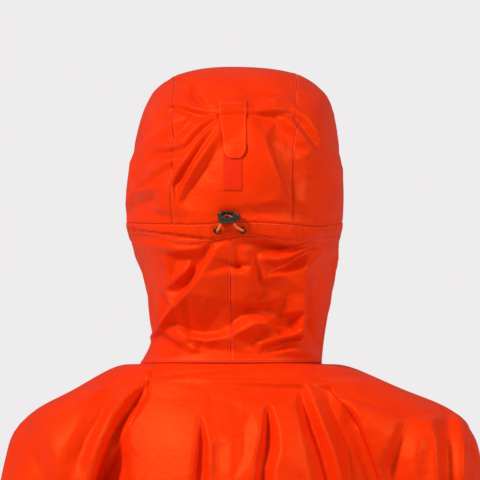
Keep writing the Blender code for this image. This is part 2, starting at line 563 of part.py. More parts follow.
def front_half(side):
    """Half of the front's grid, with its second column set on the edge of the zip slot."""
    columns = front_columns()
    spread = np.clip((columns - columns[1]) / (1 - columns[1]), 0, 1)
    sections = body_half(columns, side, -1)
    sections[0] = neck_ring(1 - spread * (1 - FRONT_SEAM_SHARE), side)
    grid = loft(sections, pick_rows(BODY_STEPS), body_knots())
    grid[:, 0, 0] = 0.0
    slot_share = ZIP_HALF_SLOT / np.abs(grid[:, 1, 0] - grid[:, 0, 0])
    grid[:, 1] = grid[:, 0] + slot_share[:, None] * (grid[:, 1] - grid[:, 0])
    return grid


def neck_shares():
    """Shares along the hood's neck part that meet the body's columns at the neck seam."""
    back = np.linspace(0, BACK_SEAM_SHARE, BACK_CELLS + 1)
    middle = np.linspace(BACK_SEAM_SHARE, FRONT_SEAM_SHARE, NECK_SIDE_CELLS + 1)
    front = np.linspace(FRONT_SEAM_SHARE, 1, BACK_CELLS + 1)
    return np.concatenate([back, middle[1:], front[1:]])


def cloth_grids():
    """Smooth outer grids of all cloth pieces, before any fold. Columns times rows points outwards."""
    body_rows = pick_rows(BODY_STEPS)
    sleeve_rows = pick_rows(SLEEVE_STEPS)
    across = np.linspace(0, 1, BACK_CELLS + 1)
    around = np.linspace(0, 1, SLEEVE_CELLS + 1)
    neck_rows = pick_rows(NECK_STEPS)
    crown_rows = pick_rows(CROWN_STEPS)
    centre = np.linspace(0, CENTRE_SHARE, CROWN_HALF_CELLS + 1)
    sides = np.linspace(CENTRE_SHARE, 1, CROWN_SIDE_CELLS + 1)
    band = np.concatenate([centre, sides[1:]])
    grids = {}
    grids["back_panel"] = both_sides(
        lambda side: loft(body_half(across, side, 1), body_rows, body_knots()))[:, ::-1]
    grids["front_panel"] = both_sides(front_half)
    for side, name in SIDE_NAMES:
        sleeve = loft(sleeve_sections(around, side), sleeve_rows, sleeve_knots())
        neck = loft(hood_sections(neck_shares(), side), neck_rows, hood_knots())
        neck[neck_rows <= CHIN_ROW, -1, 0] = side * ZIP_HALF_SLOT
        crown = loft(hood_sections(sides, side), crown_rows, hood_knots())
        grids["sleeve_" + name] = sleeve if side > 0 else sleeve[:, ::-1]
        grids["hood_neck_" + name] = neck[:, ::-1] if side > 0 else neck
        grids["hood_side_" + name] = crown[:, ::-1] if side > 0 else crown
    casing_rows = np.array([CASING_ROW, CASING_ROW + 0.5, CROWN_ROW])
    grids["hood_centre"] = both_sides(
        lambda side: loft(hood_sections(centre, side), crown_rows, hood_knots()))
    grids["hood_casing"] = both_sides(
        lambda side: loft(hood_sections(band, side), casing_rows, hood_knots()))
    return grids


def folded_grids():
    """Outer grids with their folds, the casing's swell and gathers, and their shared unit normals."""
    grids = cloth_grids()
    normals = shared_normals(grids)
    folded = {}
    for name, points in grids.items():
        height = fold_height(points, normals[name]) * calm_near_seams(points)
        if name == "hood_casing":
            phase = np.linspace(-1, 1, points.shape[1]) * math.pi * GATHER_COUNT
            height[1] += CASING_SWELL + GATHER_HEIGHT * np.cos(phase)
        folded[name] = points + height[..., None] * normals[name]
    return folded, shared_normals(folded)


# ---------------------------------------------------------------- walls
def unit(vectors):
    """Vectors scaled to length 1."""
    return vectors / np.maximum(np.linalg.norm(vectors, axis=-1, keepdims=True), 1e-12)


def trimmed(points, normals, sides):
    """Grid whose named sides are drawn in by half a seam gap, square to the seam in the cloth's plane."""
    result = points.copy()
    half = SEAM_GAP / 2
    down = np.gradient(points, axis=0)
    over = np.gradient(points, axis=1)
    if "first_column" in sides:
        result[:, 0] += half * unit(np.cross(down[:, 0], normals[:, 0]))
    if "last_column" in sides:
        result[:, -1] += half * unit(np.cross(normals[:, -1], down[:, -1]))
    if "first_row" in sides:
        result[0] += half * unit(np.cross(normals[0], over[0]))
    if "last_row" in sides:
        result[-1] += half * unit(np.cross(over[-1], normals[-1]))
    return result


def wall_mesh(name, outer, inner, keep=None):
    """Closed wall between two grids: two faces for each kept cell on both sides, and a rim all round."""
    rows, columns = outer.shape[:2]
    keep = np.ones((rows - 1, columns - 1), dtype=bool) if keep is None else keep
    number = np.arange(rows * columns).reshape(rows, columns)
    a, b = number[:-1, :-1][keep], number[:-1, 1:][keep]
    c, d = number[1:, 1:][keep], number[1:, :-1][keep]
    front = np.concatenate([np.stack([a, b, c], 1), np.stack([a, c, d], 1)])
    back = front[:, ::-1] + rows * columns
    edges = np.concatenate([np.stack(pair, 1) for pair in ((a, b), (b, c), (c, d), (d, a))])
    known = {(int(p), int(q)) for p, q in edges}
    rim = []
    for p, q in sorted(known):
        if (q, p) not in known:
            rim.append((q, p, p + rows * columns))
            rim.append((q, p + rows * columns, q + rows * columns))
    faces = np.concatenate([front, back, np.array(rim)])
    points = np.concatenate([outer.reshape(-1, 3), inner.reshape(-1, 3)])
    used, faces = np.unique(faces, return_inverse=True)
    mesh = bpy.data.meshes.new(name)
    mesh.from_pydata(points[used].tolist(), [], faces.reshape(-1, 3).tolist())
    mesh.validate()
    return mesh


def add_object(name, mesh, material, collection):
    """One named object for one piece."""
    piece = bpy.data.objects.new(name, mesh)
    mesh.materials.append(material)
    collection.objects.link(piece)
    return piece


def make_material(name, colour, roughness, metallic=0.0):
    """Principled material with a plain colour."""
    material = bpy.data.materials.new(name)
    material.use_nodes = True
    shader = material.node_tree.nodes["Principled BSDF"]
    shader.inputs["Base Color"].default_value = (*colour, 1.0)
    shader.inputs["Roughness"].default_value = roughness
    shader.inputs["Metallic"].default_value = metallic
    return material


# sides of each grid that are sewn to a neighbour
SEAM_SIDES = {
    "back_panel": ("first_column", "last_column"),
    "front_panel": ("first_column", "last_column"),
    "sleeve_left": ("first_column", "last_column"),
    "sleeve_right": ("first_column", "last_column"),
    "hood_neck_left": ("last_column", "last_row"),
    "hood_neck_right": ("first_column", "last_row"),
    "hood_side_left": ("last_column", "first_row"),
    "hood_side_right": ("first_column", "first_row"),
    "hood_centre": ("first_column", "last_column", "first_row"),
    "hood_casing": ("first_row", "last_row"),
}
# rows whose edge is cut level, where a piece meets the neck seam or the casing
LEVEL_ENDS = {
    "hood_neck_left": (0, -1),
    "hood_neck_right": (0, -1),
    "hood_side_left": (0,),
    "hood_side_right": (0,),
    "hood_centre": (0,),
    "hood_casing": (0, -1),
}
# the way that each corner at the underarm point is drawn in: column, x and y
UNDERARM_CORNERS = {
    "back_panel": ((0, 1, 1), (-1, -1, 1)),
    "front_panel": ((0, -1, -1), (-1, 1, -1)),
    "sleeve_left": ((0, 1, 1), (-1, 1, -1)),
    "sleeve_right": ((0, -1, -1), (-1, -1, 1)),
}


def draw_in_underarm(outer, corners):
    """Draw the corners at the underarm point apart, where four seams meet."""
    row = int(np.searchsorted(pick_rows(BODY_STEPS), UNDERARM_ROW))
    for column, x_sign, y_sign in corners:
        outer[row, column, 0] += x_sign * UNDERARM_GAP / 2
        outer[row, column, 1] += y_sign * UNDERARM_GAP / 2


def cloth_walls(folded, normals):
    """Outer and inner grids of every cloth piece, trimmed at its seams and thick at its hems."""
    walls = {}
    for name, points in folded.items():
        outer = trimmed(points, normals[name], SEAM_SIDES[name])
        thick = np.full(points.shape[:2], CLOTH)
        if name in ("back_panel", "front_panel", "sleeve_left", "sleeve_right"):
            thick[-2:] = HEM_CLOTH
        if name.startswith("hood_side") or name == "hood_centre":
            thick[-1] = HEM_CLOTH
        outward = normals[name].copy()
        if name.startswith("hood_neck"):
            outer[0, :, 2] += SEAM_GAP
        for row in LEVEL_ENDS.get(name, ()):
            outward[row, :, 2] = 0.0
            outward[row] = unit(outward[row])
        if name in UNDERARM_CORNERS:
            draw_in_underarm(outer, UNDERARM_CORNERS[name])
        walls[name] = (outer, outer - thick[..., None] * outward)
    return walls


def front_mask(rows):
    """Cells of the front that are kept: the two middle columns are open down to the zip's foot."""
    keep = np.ones((len(rows) - 1, 2 * (BACK_CELLS + 1)), dtype=bool)
    open_rows = rows[:-1] < ZIP_END_ROW
    keep[open_rows, BACK_CELLS] = False
    keep[open_rows, BACK_CELLS + 1] = False
    return keep


# ---------------------------------------------------------------- what lies on the hood
def on_grid(points, x, z):
    """Point of a faceted grid seen square on from behind at (x, z), and its facet's unit normal."""
    a, b = points[:-1, :-1], points[:-1, 1:]
    c, d = points[1:, 1:], points[1:, :-1]
    corners = np.concatenate([np.stack([a, b, c], 2).reshape(-1, 3, 3),
                              np.stack([a, c, d], 2).reshape(-1, 3, 3)])
    flat = corners[:, :, (0, 2)]
    edge_b, edge_c = flat[:, 1] - flat[:, 0], flat[:, 2] - flat[:, 0]
    spot = np.array([x, z]) - flat[:, 0]
    area = edge_b[:, 0] * edge_c[:, 1] - edge_b[:, 1] * edge_c[:, 0]
    share_b = (spot[:, 0] * edge_c[:, 1] - spot[:, 1] * edge_c[:, 0]) / area
    share_c = (edge_b[:, 0] * spot[:, 1] - edge_b[:, 1] * spot[:, 0]) / area
    slack = np.min(np.stack([share_b, share_c, 1 - share_b - share_c]), axis=0)
    facing = np.cross(corners[:, 1] - corners[:, 0], corners[:, 2] - corners[:, 0])
    slack = np.where(facing[:, 1] > 0, slack, -1)
    best = int(np.argmax(slack))
    tri = corners[best]
    point = tri[0] + share_b[best] * (tri[1] - tri[0]) + share_c[best] * (tri[2] - tri[0])
    return point, unit(facing[best])


def lying_grid(under, columns, rows, lift):
    """Grid laid on a panel, a row of x positions (columns) for each z (rows), lifted by lift for each row."""
    points = np.array([[on_grid(under, x, z)[0] for x in across] for across, z in zip(columns, rows)])
    outward = unit(grid_normals(points))
    return points + lift[:, None, None] * outward, outward


# the tab is rounded at its lower end, so its rows narrow there along a quarter of a circle
TAB_ROWS = 13
TAB_COLUMNS = 6
TAB_ROUND = 0.012             # height of the rounded end
TAB_CLOSE = 0.75              # power that crowds the rows towards the rounded end
TAB_TIP = 0.02                # share of the rounded end's height where the tab is cut off square
TAB_STEP = 0.008              # the tab rises over the patch's end along this stretch
PATCH_ROWS = 8
PATCH_COLUMNS = 4


def tab_and_patch(folded, cloth, trim, collection):
    """The volume tab, stitched to the crown at its top, and the loop patch that its end closes on."""
    under = folded["hood_centre"]
    patch_rows = np.linspace(PATCH_END_Z, PATCH_TOP_Z, PATCH_ROWS)
    across = np.linspace(PATCH_LEFT, PATCH_RIGHT, PATCH_COLUMNS + 1)
    outer_lift = np.full(len(patch_rows), REST_GAP + TRIM_THICK)
    points, outward = lying_grid(under, [across] * len(patch_rows), patch_rows, outer_lift)
    add_object("hood_loop_patch",
               wall_mesh("hood_loop_patch", points, points - TRIM_THICK * outward), trim, collection)

    rows = TAB_END_Z + (TAB_TOP_Z - TAB_END_Z) * (1 - np.linspace(1, 0, TAB_ROWS) ** TAB_CLOSE)
    columns = []
    for z in rows:
        low = np.clip((z - TAB_END_Z) / TAB_ROUND, TAB_TIP, 1)
        half_share = math.sqrt(1 - (1 - low) ** 2)
        upper = np.clip((z - TAB_END_Z - TAB_ROUND) / (TAB_TOP_Z - TAB_END_Z - TAB_ROUND), 0, 1)
        left = TAB_LEFT_LOW + (TAB_LEFT_TOP - TAB_LEFT_LOW) * upper
        middle = (left + TAB_RIGHT) / 2
        half = (left - TAB_RIGHT) / 2
        columns.append(np.linspace(middle + half * half_share, middle - half * half_share, TAB_COLUMNS + 1))
    over_patch = np.clip((PATCH_TOP_Z + TAB_STEP - rows) / TAB_STEP, 0, 1)
    lift = TAB_GAP + over_patch * (TRIM_THICK + REST_GAP) + CLOTH
    points, outward = lying_grid(under, columns, rows, lift)
    add_object("hood_tab", wall_mesh("hood_tab", points, points - CLOTH * outward), cloth, collection)


def turned_ring(name, centre, outward, outer, hole, thick):
    """Flat ring with rounded edges: a screw of its profile about the outward axis at centre."""
    profile = bpy.data.meshes.new(name)
    middle, reach = (outer + hole) / 2, (outer - hole) / 2
    angles = np.linspace(0, 2 * math.pi, EYELET_SIDES + 1)[:-1]
    points = [(middle + reach * math.cos(turn), 0, thick / 2 - thick / 2 * math.sin(turn)) for turn in angles]
    edges = [(i, (i + 1) % len(points)) for i in range(len(points))]
    profile.from_pydata(points, edges, [])
    ring = bpy.data.objects.new(name, profile)
    screw = ring.modifiers.new("turn", "SCREW")
    screw.steps = EYELET_STEPS
    screw.render_steps = EYELET_STEPS
    screw.use_merge_vertices = True
    screw.merge_threshold = EYELET_MERGE
    turn = Vector((0, 0, 1)).rotation_difference(Vector(outward))
    ring.matrix_world = Matrix.Translation(Vector(centre)) @ turn.to_matrix().to_4x4()
    return ring


def tube(name, points, radius, material, collection):
    """Poly curve with a round bevel and filled caps."""
    data = bpy.data.curves.new(name, "CURVE")
    data.dimensions = "3D"
    data.bevel_depth = radius
    data.bevel_resolution = 2
    data.use_fill_caps = True
    line = data.splines.new("POLY")
    line.points.add(len(points) - 1)
    for spot, point in zip(line.points, points):
        spot.co = (*point, 1.0)
    piece = bpy.data.objects.new(name, data)
    data.materials.append(material)
    collection.objects.link(piece)
    return piece


def rounded_box(name, size, bevel):
    """Box with bevelled edges, centred on its origin."""
    mesh = bpy.data.meshes.new(name)
    box = bmesh.new()
    bmesh.ops.create_cube(box, size=1.0)
    bmesh.ops.scale(box, vec=size, verts=box.verts)
    bmesh.ops.bevel(box, geom=box.edges[:], offset=bevel, segments=2, affect="EDGES", profile=0.7)
    box.to_mesh(mesh)
    box.free()
    return mesh


def cut_with(piece, cutter, operation="DIFFERENCE"):
    """Add an exact boolean of piece with cutter."""
    cut = piece.modifiers.new(cutter.name, "BOOLEAN")
    cut.operation = operation
    cut.object = cutter
    cutter.hide_render = True
    cutter.display_type = "WIRE"


def cord_route(folded):
    """Points of the drawcord from the left eyelet up, across inside the lock and down to the right."""
    casing = folded["hood_casing"]
    crown = folded["hood_centre"]
    seat = on_grid(crown, LOCK_X, LOCK_Z + LOCK_SEAT_UP)[0]
    centre = np.array([LOCK_X, seat[1] + LOCK_CLEAR + LOCK_DEEP / 2, LOCK_Z])
    ends = {}
    for side, x in EYELET_X.items():
        point, outward = on_grid(casing, x, EYELET_Z)
        ends[side] = point + CORD_START * outward
    control = np.array([
        ends["left"], ends["left"] + CORD_LEFT_OUT, *(centre + CORD_LOOP),
        ends["right"] + CORD_RIGHT_OUT, ends["right"]])
    knots = run_length(control)
    return smooth(knots, control, np.linspace(0, knots[-1], CORD_POINTS)), centre


def drawcord_set(folded, materials, collection, cutters):
    """Eyelets on the casing, the cord between them and the lock that it runs through."""
    for side, x in EYELET_X.items():
        point, outward = on_grid(folded["hood_casing"], x, EYELET_Z)
        name = "eyelet_" + side
        ring = turned_ring(name, point + SEAM_GAP * outward, outward,
                           EYELET_RADIUS, EYELET_HOLE, EYELET_THICK)
        ring.data.materials.append(materials["metal"])
        collection.objects.link(ring)
    route, centre = cord_route(folded)
    tube("drawcord", route, CORD_RADIUS, materials["cord"], collection)
    lock = add_object("cord_lock", rounded_box("cord_lock", (LOCK_WIDE, LOCK_DEEP, LOCK_TALL), LOCK_BEVEL),
                      materials["lock"], collection)
    lock.location = centre
    channel = tube("cord_channel", route, CORD_RADIUS + CORD_ROOM, materials["lock"], cutters)
    bpy.context.view_layer.update()
    graph = bpy.context.evaluated_depsgraph_get()
    solid = bpy.data.meshes.new_from_object(channel.evaluated_get(graph))
    welded = bmesh.new()
    welded.from_mesh(solid)
    bmesh.ops.remove_doubles(welded, verts=welded.verts, dist=WELD)
    welded.to_mesh(solid)
    welded.free()
    cutter = bpy.data.objects.new("cord_channel_cutter", solid)
    cutter.matrix_world = channel.matrix_world
    bpy.data.objects.remove(channel)
    cutters.objects.link(cutter)
    cut_with(lock, cutter)
    window = bpy.data.objects.new("lock_window", rounded_box("lock_window", WINDOW_SIZE, WINDOW_BEVEL))
    window.location = centre + np.array([0.0, LOCK_DEEP / 2, WINDOW_UP])
    cutters.objects.link(window)
    cut_with(lock, window)
    bpy.ops.mesh.primitive_cylinder_add(
        vertices=BUTTON_SIDES, radius=BUTTON_RADIUS, depth=BUTTON_LONG, rotation=(0, math.pi / 2, 0),
        location=centre - np.array([LOCK_WIDE / 2 + SEAM_GAP + BUTTON_LONG / 2, 0, 0]))
    button = bpy.context.object
    button.name = "cord_lock_button"
    button.data.materials.append(materials["lock"])
    for owner in list(button.users_collection):
        owner.objects.unlink(button)
    collection.objects.link(button)


# ---------------------------------------------------------------- zip
def zip_line(walls):
    """Outer and inner points, from the zip's foot up, at the slot's edge and in the next column."""
    rows = pick_rows(BODY_STEPS)
    foot = int(np.searchsorted(rows, ZIP_END_ROW)) + 1
    chin = int(np.searchsorted(pick_rows(NECK_STEPS), CHIN_ROW)) + 1
    middle = BACK_CELLS + 1
    result = {}
    for side, name in SIDE_NAMES:
        edge, following = (0, 1) if side > 0 else (-1, -2)
        lines = []
        for body_column, hood_column in ((middle - side, edge), (middle - 2 * side, following)):
            for layer in (0, 1):
                body = walls["front_panel"][layer][:foot + 1, body_column][::-1]
                hood = walls["hood_neck_" + name][layer][1:chin, hood_column]
                lines.append(np.concatenate([body, hood]))
        result[name] = lines
    return result


def zip_set(walls, materials, collection):
    """Half zip, closed to the chin: tapes behind the cloth edges, chain, slider and hanging pull tab."""
    lines = zip_line(walls)
    centre = (lines["left"][1] + lines["right"][1]) / 2
    run = unit(np.gradient(centre, axis=0))
    outward = unit(np.stack([0 * run[:, 0], -run[:, 2], run[:, 1]], axis=1))
    for side, name in SIDE_NAMES:
        edge_outer, edge_inner, next_outer, next_inner = lines[name]
        edge_in, next_in = unit(edge_inner - edge_outer), unit(next_inner - next_outer)
        middle = centre - REST_GAP * outward
        middle[:, 0] = side * SEAM_GAP / 2
        edge = edge_inner + REST_GAP * edge_in
        gap_share = (TAPE_HALF - ZIP_HALF_SLOT) / (np.abs(next_inner[:, :1]) - ZIP_HALF_SLOT)
        reach = edge_inner + gap_share * (next_inner - edge_inner) + REST_GAP * edge_in
        outer = np.stack([middle, edge, reach], axis=1)
        inner = outer + TAPE_THICK * np.stack([-outward, edge_in, edge_in], axis=1)
        if side < 0:
            outer, inner = outer[:, ::-1], inner[:, ::-1]
        add_object("zip_tape_" + name, wall_mesh("zip_tape_" + name, outer, inner),
                   materials["tape"], collection)
    chain_rows = centre[1:]
    chain_out = outward[1:]
    chain_rows[0] += CHAIN_FOOT * run[1]
    chain_rows[:, 0] = 0.0
    base = chain_rows + (SEAM_GAP - REST_GAP) * chain_out
    sides = np.array([-CHAIN_HALF, 0.0, CHAIN_HALF])
    low = base[:, None] + np.stack([sides, 0 * sides, 0 * sides], axis=1)[None]
    high = low + CHAIN_THICK * chain_out[:, None]
    add_object("zip_chain", wall_mesh("zip_chain", high, low), materials["chain"], collection)
    slider_and_pull(base + CHAIN_THICK * chain_out, materials, collection)


def slider_and_pull(line, materials, collection):
    """Slider over the chain near its top, and the pull tab that hangs straight down from its bail."""
    knots = run_length(line)
    at = knots[-1] - SLIDER_DROP
    cell = int(np.searchsorted(knots, at)) - 1
    spot = Vector([np.interp(at, knots, line[:, axis]) for axis in range(3)])
    up = unit(line[cell + 1] - line[cell])
    # the slider is drawn with x across, y out of the cloth and z up the chain
    frame = Matrix(((-1, 0, 0), (0, -up[2], up[1]), (0, up[1], up[2]))).to_4x4()
    frame.translation = spot
    half_long = SLIDER_LONG / 2
    plate_top = SEAM_GAP + SLIDER_PLATE
    rail_x = SLIDER_HALF - RAIL_WIDE
    bail_side = BAIL_WIDE / 2
    bail_top = plate_top + BAIL_HOLE + BAIL_BAR
    pieces = [((-SLIDER_HALF, SEAM_GAP, -half_long), (SLIDER_HALF, plate_top, half_long))]
    for sign in (-1, 1):
        low_x, high_x = sorted((sign * rail_x, sign * SLIDER_HALF))
        pieces.append(((low_x, RAIL_LOW, -half_long), (high_x, SEAM_GAP + JOIN, half_long)))
        low_z, high_z = sorted((BAIL_Z + sign * BAIL_HOLE / 2, BAIL_Z + sign * (BAIL_HOLE / 2 + BAIL_BAR)))
        pieces.append(((-bail_side, plate_top - JOIN, low_z), (bail_side, bail_top, high_z)))
    pieces.append(((-bail_side, plate_top + BAIL_HOLE, BAIL_Z - BAIL_HOLE / 2 - JOIN),
                   (bail_side, bail_top, BAIL_Z + BAIL_HOLE / 2 + JOIN)))
    joined_boxes("zip_slider", pieces, frame, materials["slider"], collection)

    # the pull hangs from a bar through the bail, whose middle is the hinge line and its origin
    hinge = frame @ Vector((0, plate_top + BAIL_HOLE / 2, BAIL_Z))
    arm_x = bail_side + PULL_CLEAR
    half_bar = PULL_BAR / 2
    pieces = [((-arm_x - PULL_ARM, -half_bar, -half_bar), (arm_x + PULL_ARM, half_bar, half_bar))]
    for sign in (-1, 1):
        low_x, high_x = sorted((sign * arm_x, sign * (arm_x + PULL_ARM)))
        pieces.append(((low_x, -half_bar, -PULL_EYE - JOIN), (high_x, half_bar, 0.0)))
    pieces.append(((-PULL_WIDE / 2, -half_bar, -PULL_LONG), (PULL_WIDE / 2, half_bar, -PULL_EYE)))
    joined_boxes("zip_pull", pieces, Matrix.Translation(hinge), materials["slider"], collection)


def joined_boxes(name, boxes, place, material, collection):
    """One solid from overlapping boxes given by low and high corners, joined exactly and placed."""
    made = []
    for number, (low, high) in enumerate(boxes):
        mesh = bpy.data.meshes.new(name)
        box = bmesh.new()
        bmesh.ops.create_cube(box, size=1.0)
        bmesh.ops.scale(box, vec=[b - a for a, b in zip(low, high)], verts=box.verts)
        bmesh.ops.translate(box, vec=[(a + b) / 2 for a, b in zip(low, high)], verts=box.verts)
        box.to_mesh(mesh)
        box.free()
        label = name if number == 0 else name + "_part_%d" % number
        made.append(bpy.data.objects.new(label, mesh))
        made[-1].matrix_world = place
    first = made[0]
    first.data.materials.append(material)
    collection.objects.link(first)
    for other in made[1:]:
        bpy.data.collections["anorak_cutters"].objects.link(other)
        cut_with(first, other, "UNION")
    return first


def build():
    """The whole anorak in one collection, its cutters in another."""
    for old in list(bpy.data.objects):
        bpy.data.objects.remove(old)
    collection = bpy.data.collections.new("rain_anorak")
    cutters = bpy.data.collections.new("anorak_cutters")
    for group in (collection, cutters):
        bpy.context.scene.collection.children.link(group)
    materials = {
        "cloth": make_material("shell_cloth", SHELL_COLOUR, 0.45),
        "trim": make_material("loop_tape", TRIM_COLOUR, 0.9),
        "cord": make_material("cord_braid", CORD_COLOUR, 0.8),
        "lock": make_material("lock_plastic", LOCK_COLOUR, 0.35),
        "metal": make_material("eyelet_metal", METAL_COLOUR, 0.35, 1.0),
        "tape": make_material("zip_tape", ZIP_COLOUR, 0.85),
        "chain": make_material("zip_coil", ZIP_COLOUR, 0.5),
        "slider": make_material("slider_metal", METAL_COLOUR, 0.35, 1.0),
    }
    folded, normals = folded_grids()
    walls = cloth_walls(folded, normals)
    for name, (outer, inner) in walls.items():
        keep = front_mask(pick_rows(BODY_STEPS)) if name == "front_panel" else None
        add_object(name, wall_mesh(name, outer, inner, keep), materials["cloth"], collection)
    tab_and_patch(folded, materials["cloth"], materials["trim"], collection)
    drawcord_set(folded, materials, collection, cutters)
    zip_set(walls, materials, collection)


build()
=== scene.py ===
"""Looks of the rain anorak, worn with its hood up: thin coated-nylon shells on the frame's walls.

Metres, +Z up, the front faces -Y and the wearer's left is +X, as in the frame. Every cloth piece is a
grid of points: a smooth loft through the sections in the tables below, raised and sunk along its
normals by the listed creases, and closed into a thin wall. Where the photo shows the cloth, flat
facets over listed crests and valleys come on top. The tables are in millimetres, those of
creases and facets as they look square on from one side of the garment.
"""
import math

import bmesh
import bpy
import numpy as np
from mathutils import Matrix, Vector
from mathutils.geometry import delaunay_2d_cdt


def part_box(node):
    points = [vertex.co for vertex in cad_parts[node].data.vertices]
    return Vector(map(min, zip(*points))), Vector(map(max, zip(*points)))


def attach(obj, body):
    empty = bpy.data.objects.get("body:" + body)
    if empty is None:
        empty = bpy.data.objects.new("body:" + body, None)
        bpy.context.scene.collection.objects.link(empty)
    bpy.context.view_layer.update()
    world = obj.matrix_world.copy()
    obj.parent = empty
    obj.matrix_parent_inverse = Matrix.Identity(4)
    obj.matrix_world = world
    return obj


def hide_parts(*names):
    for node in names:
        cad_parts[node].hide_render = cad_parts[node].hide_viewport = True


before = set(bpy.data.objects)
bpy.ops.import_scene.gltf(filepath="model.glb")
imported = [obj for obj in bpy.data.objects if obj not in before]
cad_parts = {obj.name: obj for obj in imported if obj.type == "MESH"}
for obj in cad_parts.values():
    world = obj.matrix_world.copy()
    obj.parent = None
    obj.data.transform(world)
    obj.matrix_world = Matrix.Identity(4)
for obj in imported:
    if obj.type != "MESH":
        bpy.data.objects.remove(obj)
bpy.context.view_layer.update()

MM = 0.001
CLOTH = 0.8 * MM              # wall of the visible shells
HEM_CLOTH = 1.8 * MM          # where the cloth is turned back at cuffs, hem and hood edge
NECK_SEAT = 1.7 * MM          # how far the body's neck edge runs in under the hood's edge
NECK_MIDDLE_Y = -0.008        # middle of the neck ring

# ---------------------------------------------------------------- form: sections
# In mm, as in the frame, except these columns, which are degrees or shares.
NOT_LENGTHS = ("angle", "turn", "turn_in", "start_turn", "full_left", "full_right")
HOOD_LEVEL_COLUMNS = (
    "back_z", "edge_z", "back_y", "edge_y", "edge_x", "left", "right", "side_y", "turn_in")
HOOD_LEVELS = (
    (0, -45, 72, -88, 5.5, 97, 96, -8, 1),    # neck seam
    (22, -8, 71.5, -113, 5.5, 85, 98.5, -10, 1),
    (45, 28, 78, -129, 5.5, 87, 102.5, -13, 1),    # top of the zip
    (70, 52, 87, -140, 36, 90, 108, -14, 0.8),
    (98, 80, 98.5, -146, 64, 96, 112, -10, 0.5),
    (126, 119, 109, -148.5, 80, 107.5, 115.5, -6, 0.3),    # casing, lower edge
    (148, 148, 115.5, -150, 86, 111, 118, -5, 0.2),    # casing, upper edge
)
CROWN_HINGE_Y = -0.160        # the crown's sections fan out about this line at the face's edge
CROWN_HINGE_Z = 0.148
CROWN_COLUMNS = (
    "angle", "reach", "left", "right", "side_reach", "edge_reach", "edge_x", "full_left", "full_right")
CROWN_FAN = (
    (8, 284, 111.5, 119.5, 155, 11, 87, 0.57, 0.57),
    (17, 287, 109, 119, 152, 12.5, 87, 0.6, 0.6),
    (26, 280, 105, 116.5, 146, 14.5, 87, 0.64, 0.65),
    (35, 262.5, 101.5, 115, 135, 17, 87, 0.67, 0.71),
    (45, 230, 99, 113, 120, 19.5, 86, 0.69, 0.76),
    (55, 196, 97, 110.5, 103, 22, 86, 0.68, 0.76),
    (67, 160, 95, 105, 85, 25, 86, 0.65, 0.7),
    (80, 130, 92, 98, 67, 28, 86, 0.61, 0.63),
    (91, 114, 90, 93, 56, 30, 86, 0.58, 0.58),    # brim
)
HOOD_ROUND = 0.58             # share of a curve's width that its control points take, 0.55 is round
SIDE_SHARE = 0.5              # share of the half girth from the centre back to the hood's widest point
CENTRE_SHARE = 0.175          # and to the centre strip's seam
CASING_ROW = 5                # level of the casing's lower edge
CROWN_ROW = 6                 # level of its upper edge, where the crown starts
CROWN_TURN_IN = 0.1           # how far the crown's front edge turns towards the face, as turn_in above
EDGE_DROP_POWER = 3           # the lower sections fall towards the front as this power of the share
BODY_COLUMNS = (
    "z", "dip", "back_y", "front_y", "seam_x", "seam_back_y", "seam_front_y", "turn",
    "centre_pull", "seam_pull", "lean")
BODY = (
    (-5, 46, 77, -89, 83.5, 53, -58, 34, 30, 30, -1),
    (-18, 43, 86, -94, 89, 66.5, -68, 26, 32, 30, -4),
    (-32, 40, 95, -100, 97, 75.5, -74, 22, 34, 33, -8),
    (-48, 36, 104, -107, 108, 82.5, -79, 24, 38, 36, -12.5),
    (-75, 26, 117, -117, 122, 86, -82, 32, 45, 40, -12.5),
    (-105, 16, 127, -127, 134, 83, -80, 42, 55, 42, -12.5),
    (-140, 7, 134, -136, 147, 72, -72, 56, 70, 46, -10),
    (-175, 2, 137.5, -143, 159, 54, -54, 70, 85, 56, -5.5),
    (-200, 0, 139, -147, 167, 31, -31, 80, 95, 68, -1.5),
    (-215, 0, 139.5, -149, 170, 0, 0, 90, 100, 80, 0),    # underarm
    (-228, 0, 140, -150, 164, 0, 0, 90, 100, 82, 0),
    (-265, 0, 140.5, -151, 162, 0, 0, 90, 100, 83, 0),
    (-330, 0, 140, -151, 166, 0, 0, 90, 102, 83, 0),
    (-410, 0, 138, -149, 172, 0, 0, 90, 105, 82, 0),
    (-490, 0, 138, -149, 178, 0, 0, 90, 108, 82, 0),
    (-570, 0, 140, -151, 185, 0, 0, 90, 112, 84, 0),
    (-650, 0, 143.5, -155, 192, 0, 0, 90, 116, 86, 0),
    (-695, 0, 146, -158, 196, 0, 0, 90, 118, 87, 0),
    (-720, 0, 147, -159, 197, 0, 0, 90, 118, 87, 0),    # hem
)
UNDERARM_ROW = 10             # in the body table, with the neck ring as row 0
RAGLAN_COLUMNS = ("out_x", "mid_y", "start_turn", "start_pull", "out_pull")
RAGLAN = (
    (118, -6, 34, 22, 28),
    (148, -4, 24, 30, 38),
    (175.5, -2, 16, 42, 46),
    (212.5, 0, 6, 52, 52),
    (242, 0, -8, 60, 64),
    (252, 0, -22, 62, 74),
    (256.5, 0, -36, 64, 80),
    (260, 0, -52, 66, 84),
    (262.5, 0, -70, 74, 86),
    (265, 0, -90, 86, 87),
)
SLEEVE_COLUMNS = ("z", "in_x", "out_x", "mid_y", "pull")
SLEEVE = (
    (-228, 177, 266, 0, 86),
    (-265, 185, 272, -1, 83),
    (-325, 193, 280, -3, 78),
    (-385, 200, 286, -8, 74),
    (-450, 211, 294, -20, 69),
    (-520, 224, 302, -36, 63),
    (-590, 237, 309, -52, 57),
    (-620, 242, 312, -59, 55),
    (-645, 244, 313, -62, 54.5),    # cuff
)
BACK_SEAM_SHARE = 0.31        # where the raglan seams meet the neck ring, 0 centre back, 1 centre front
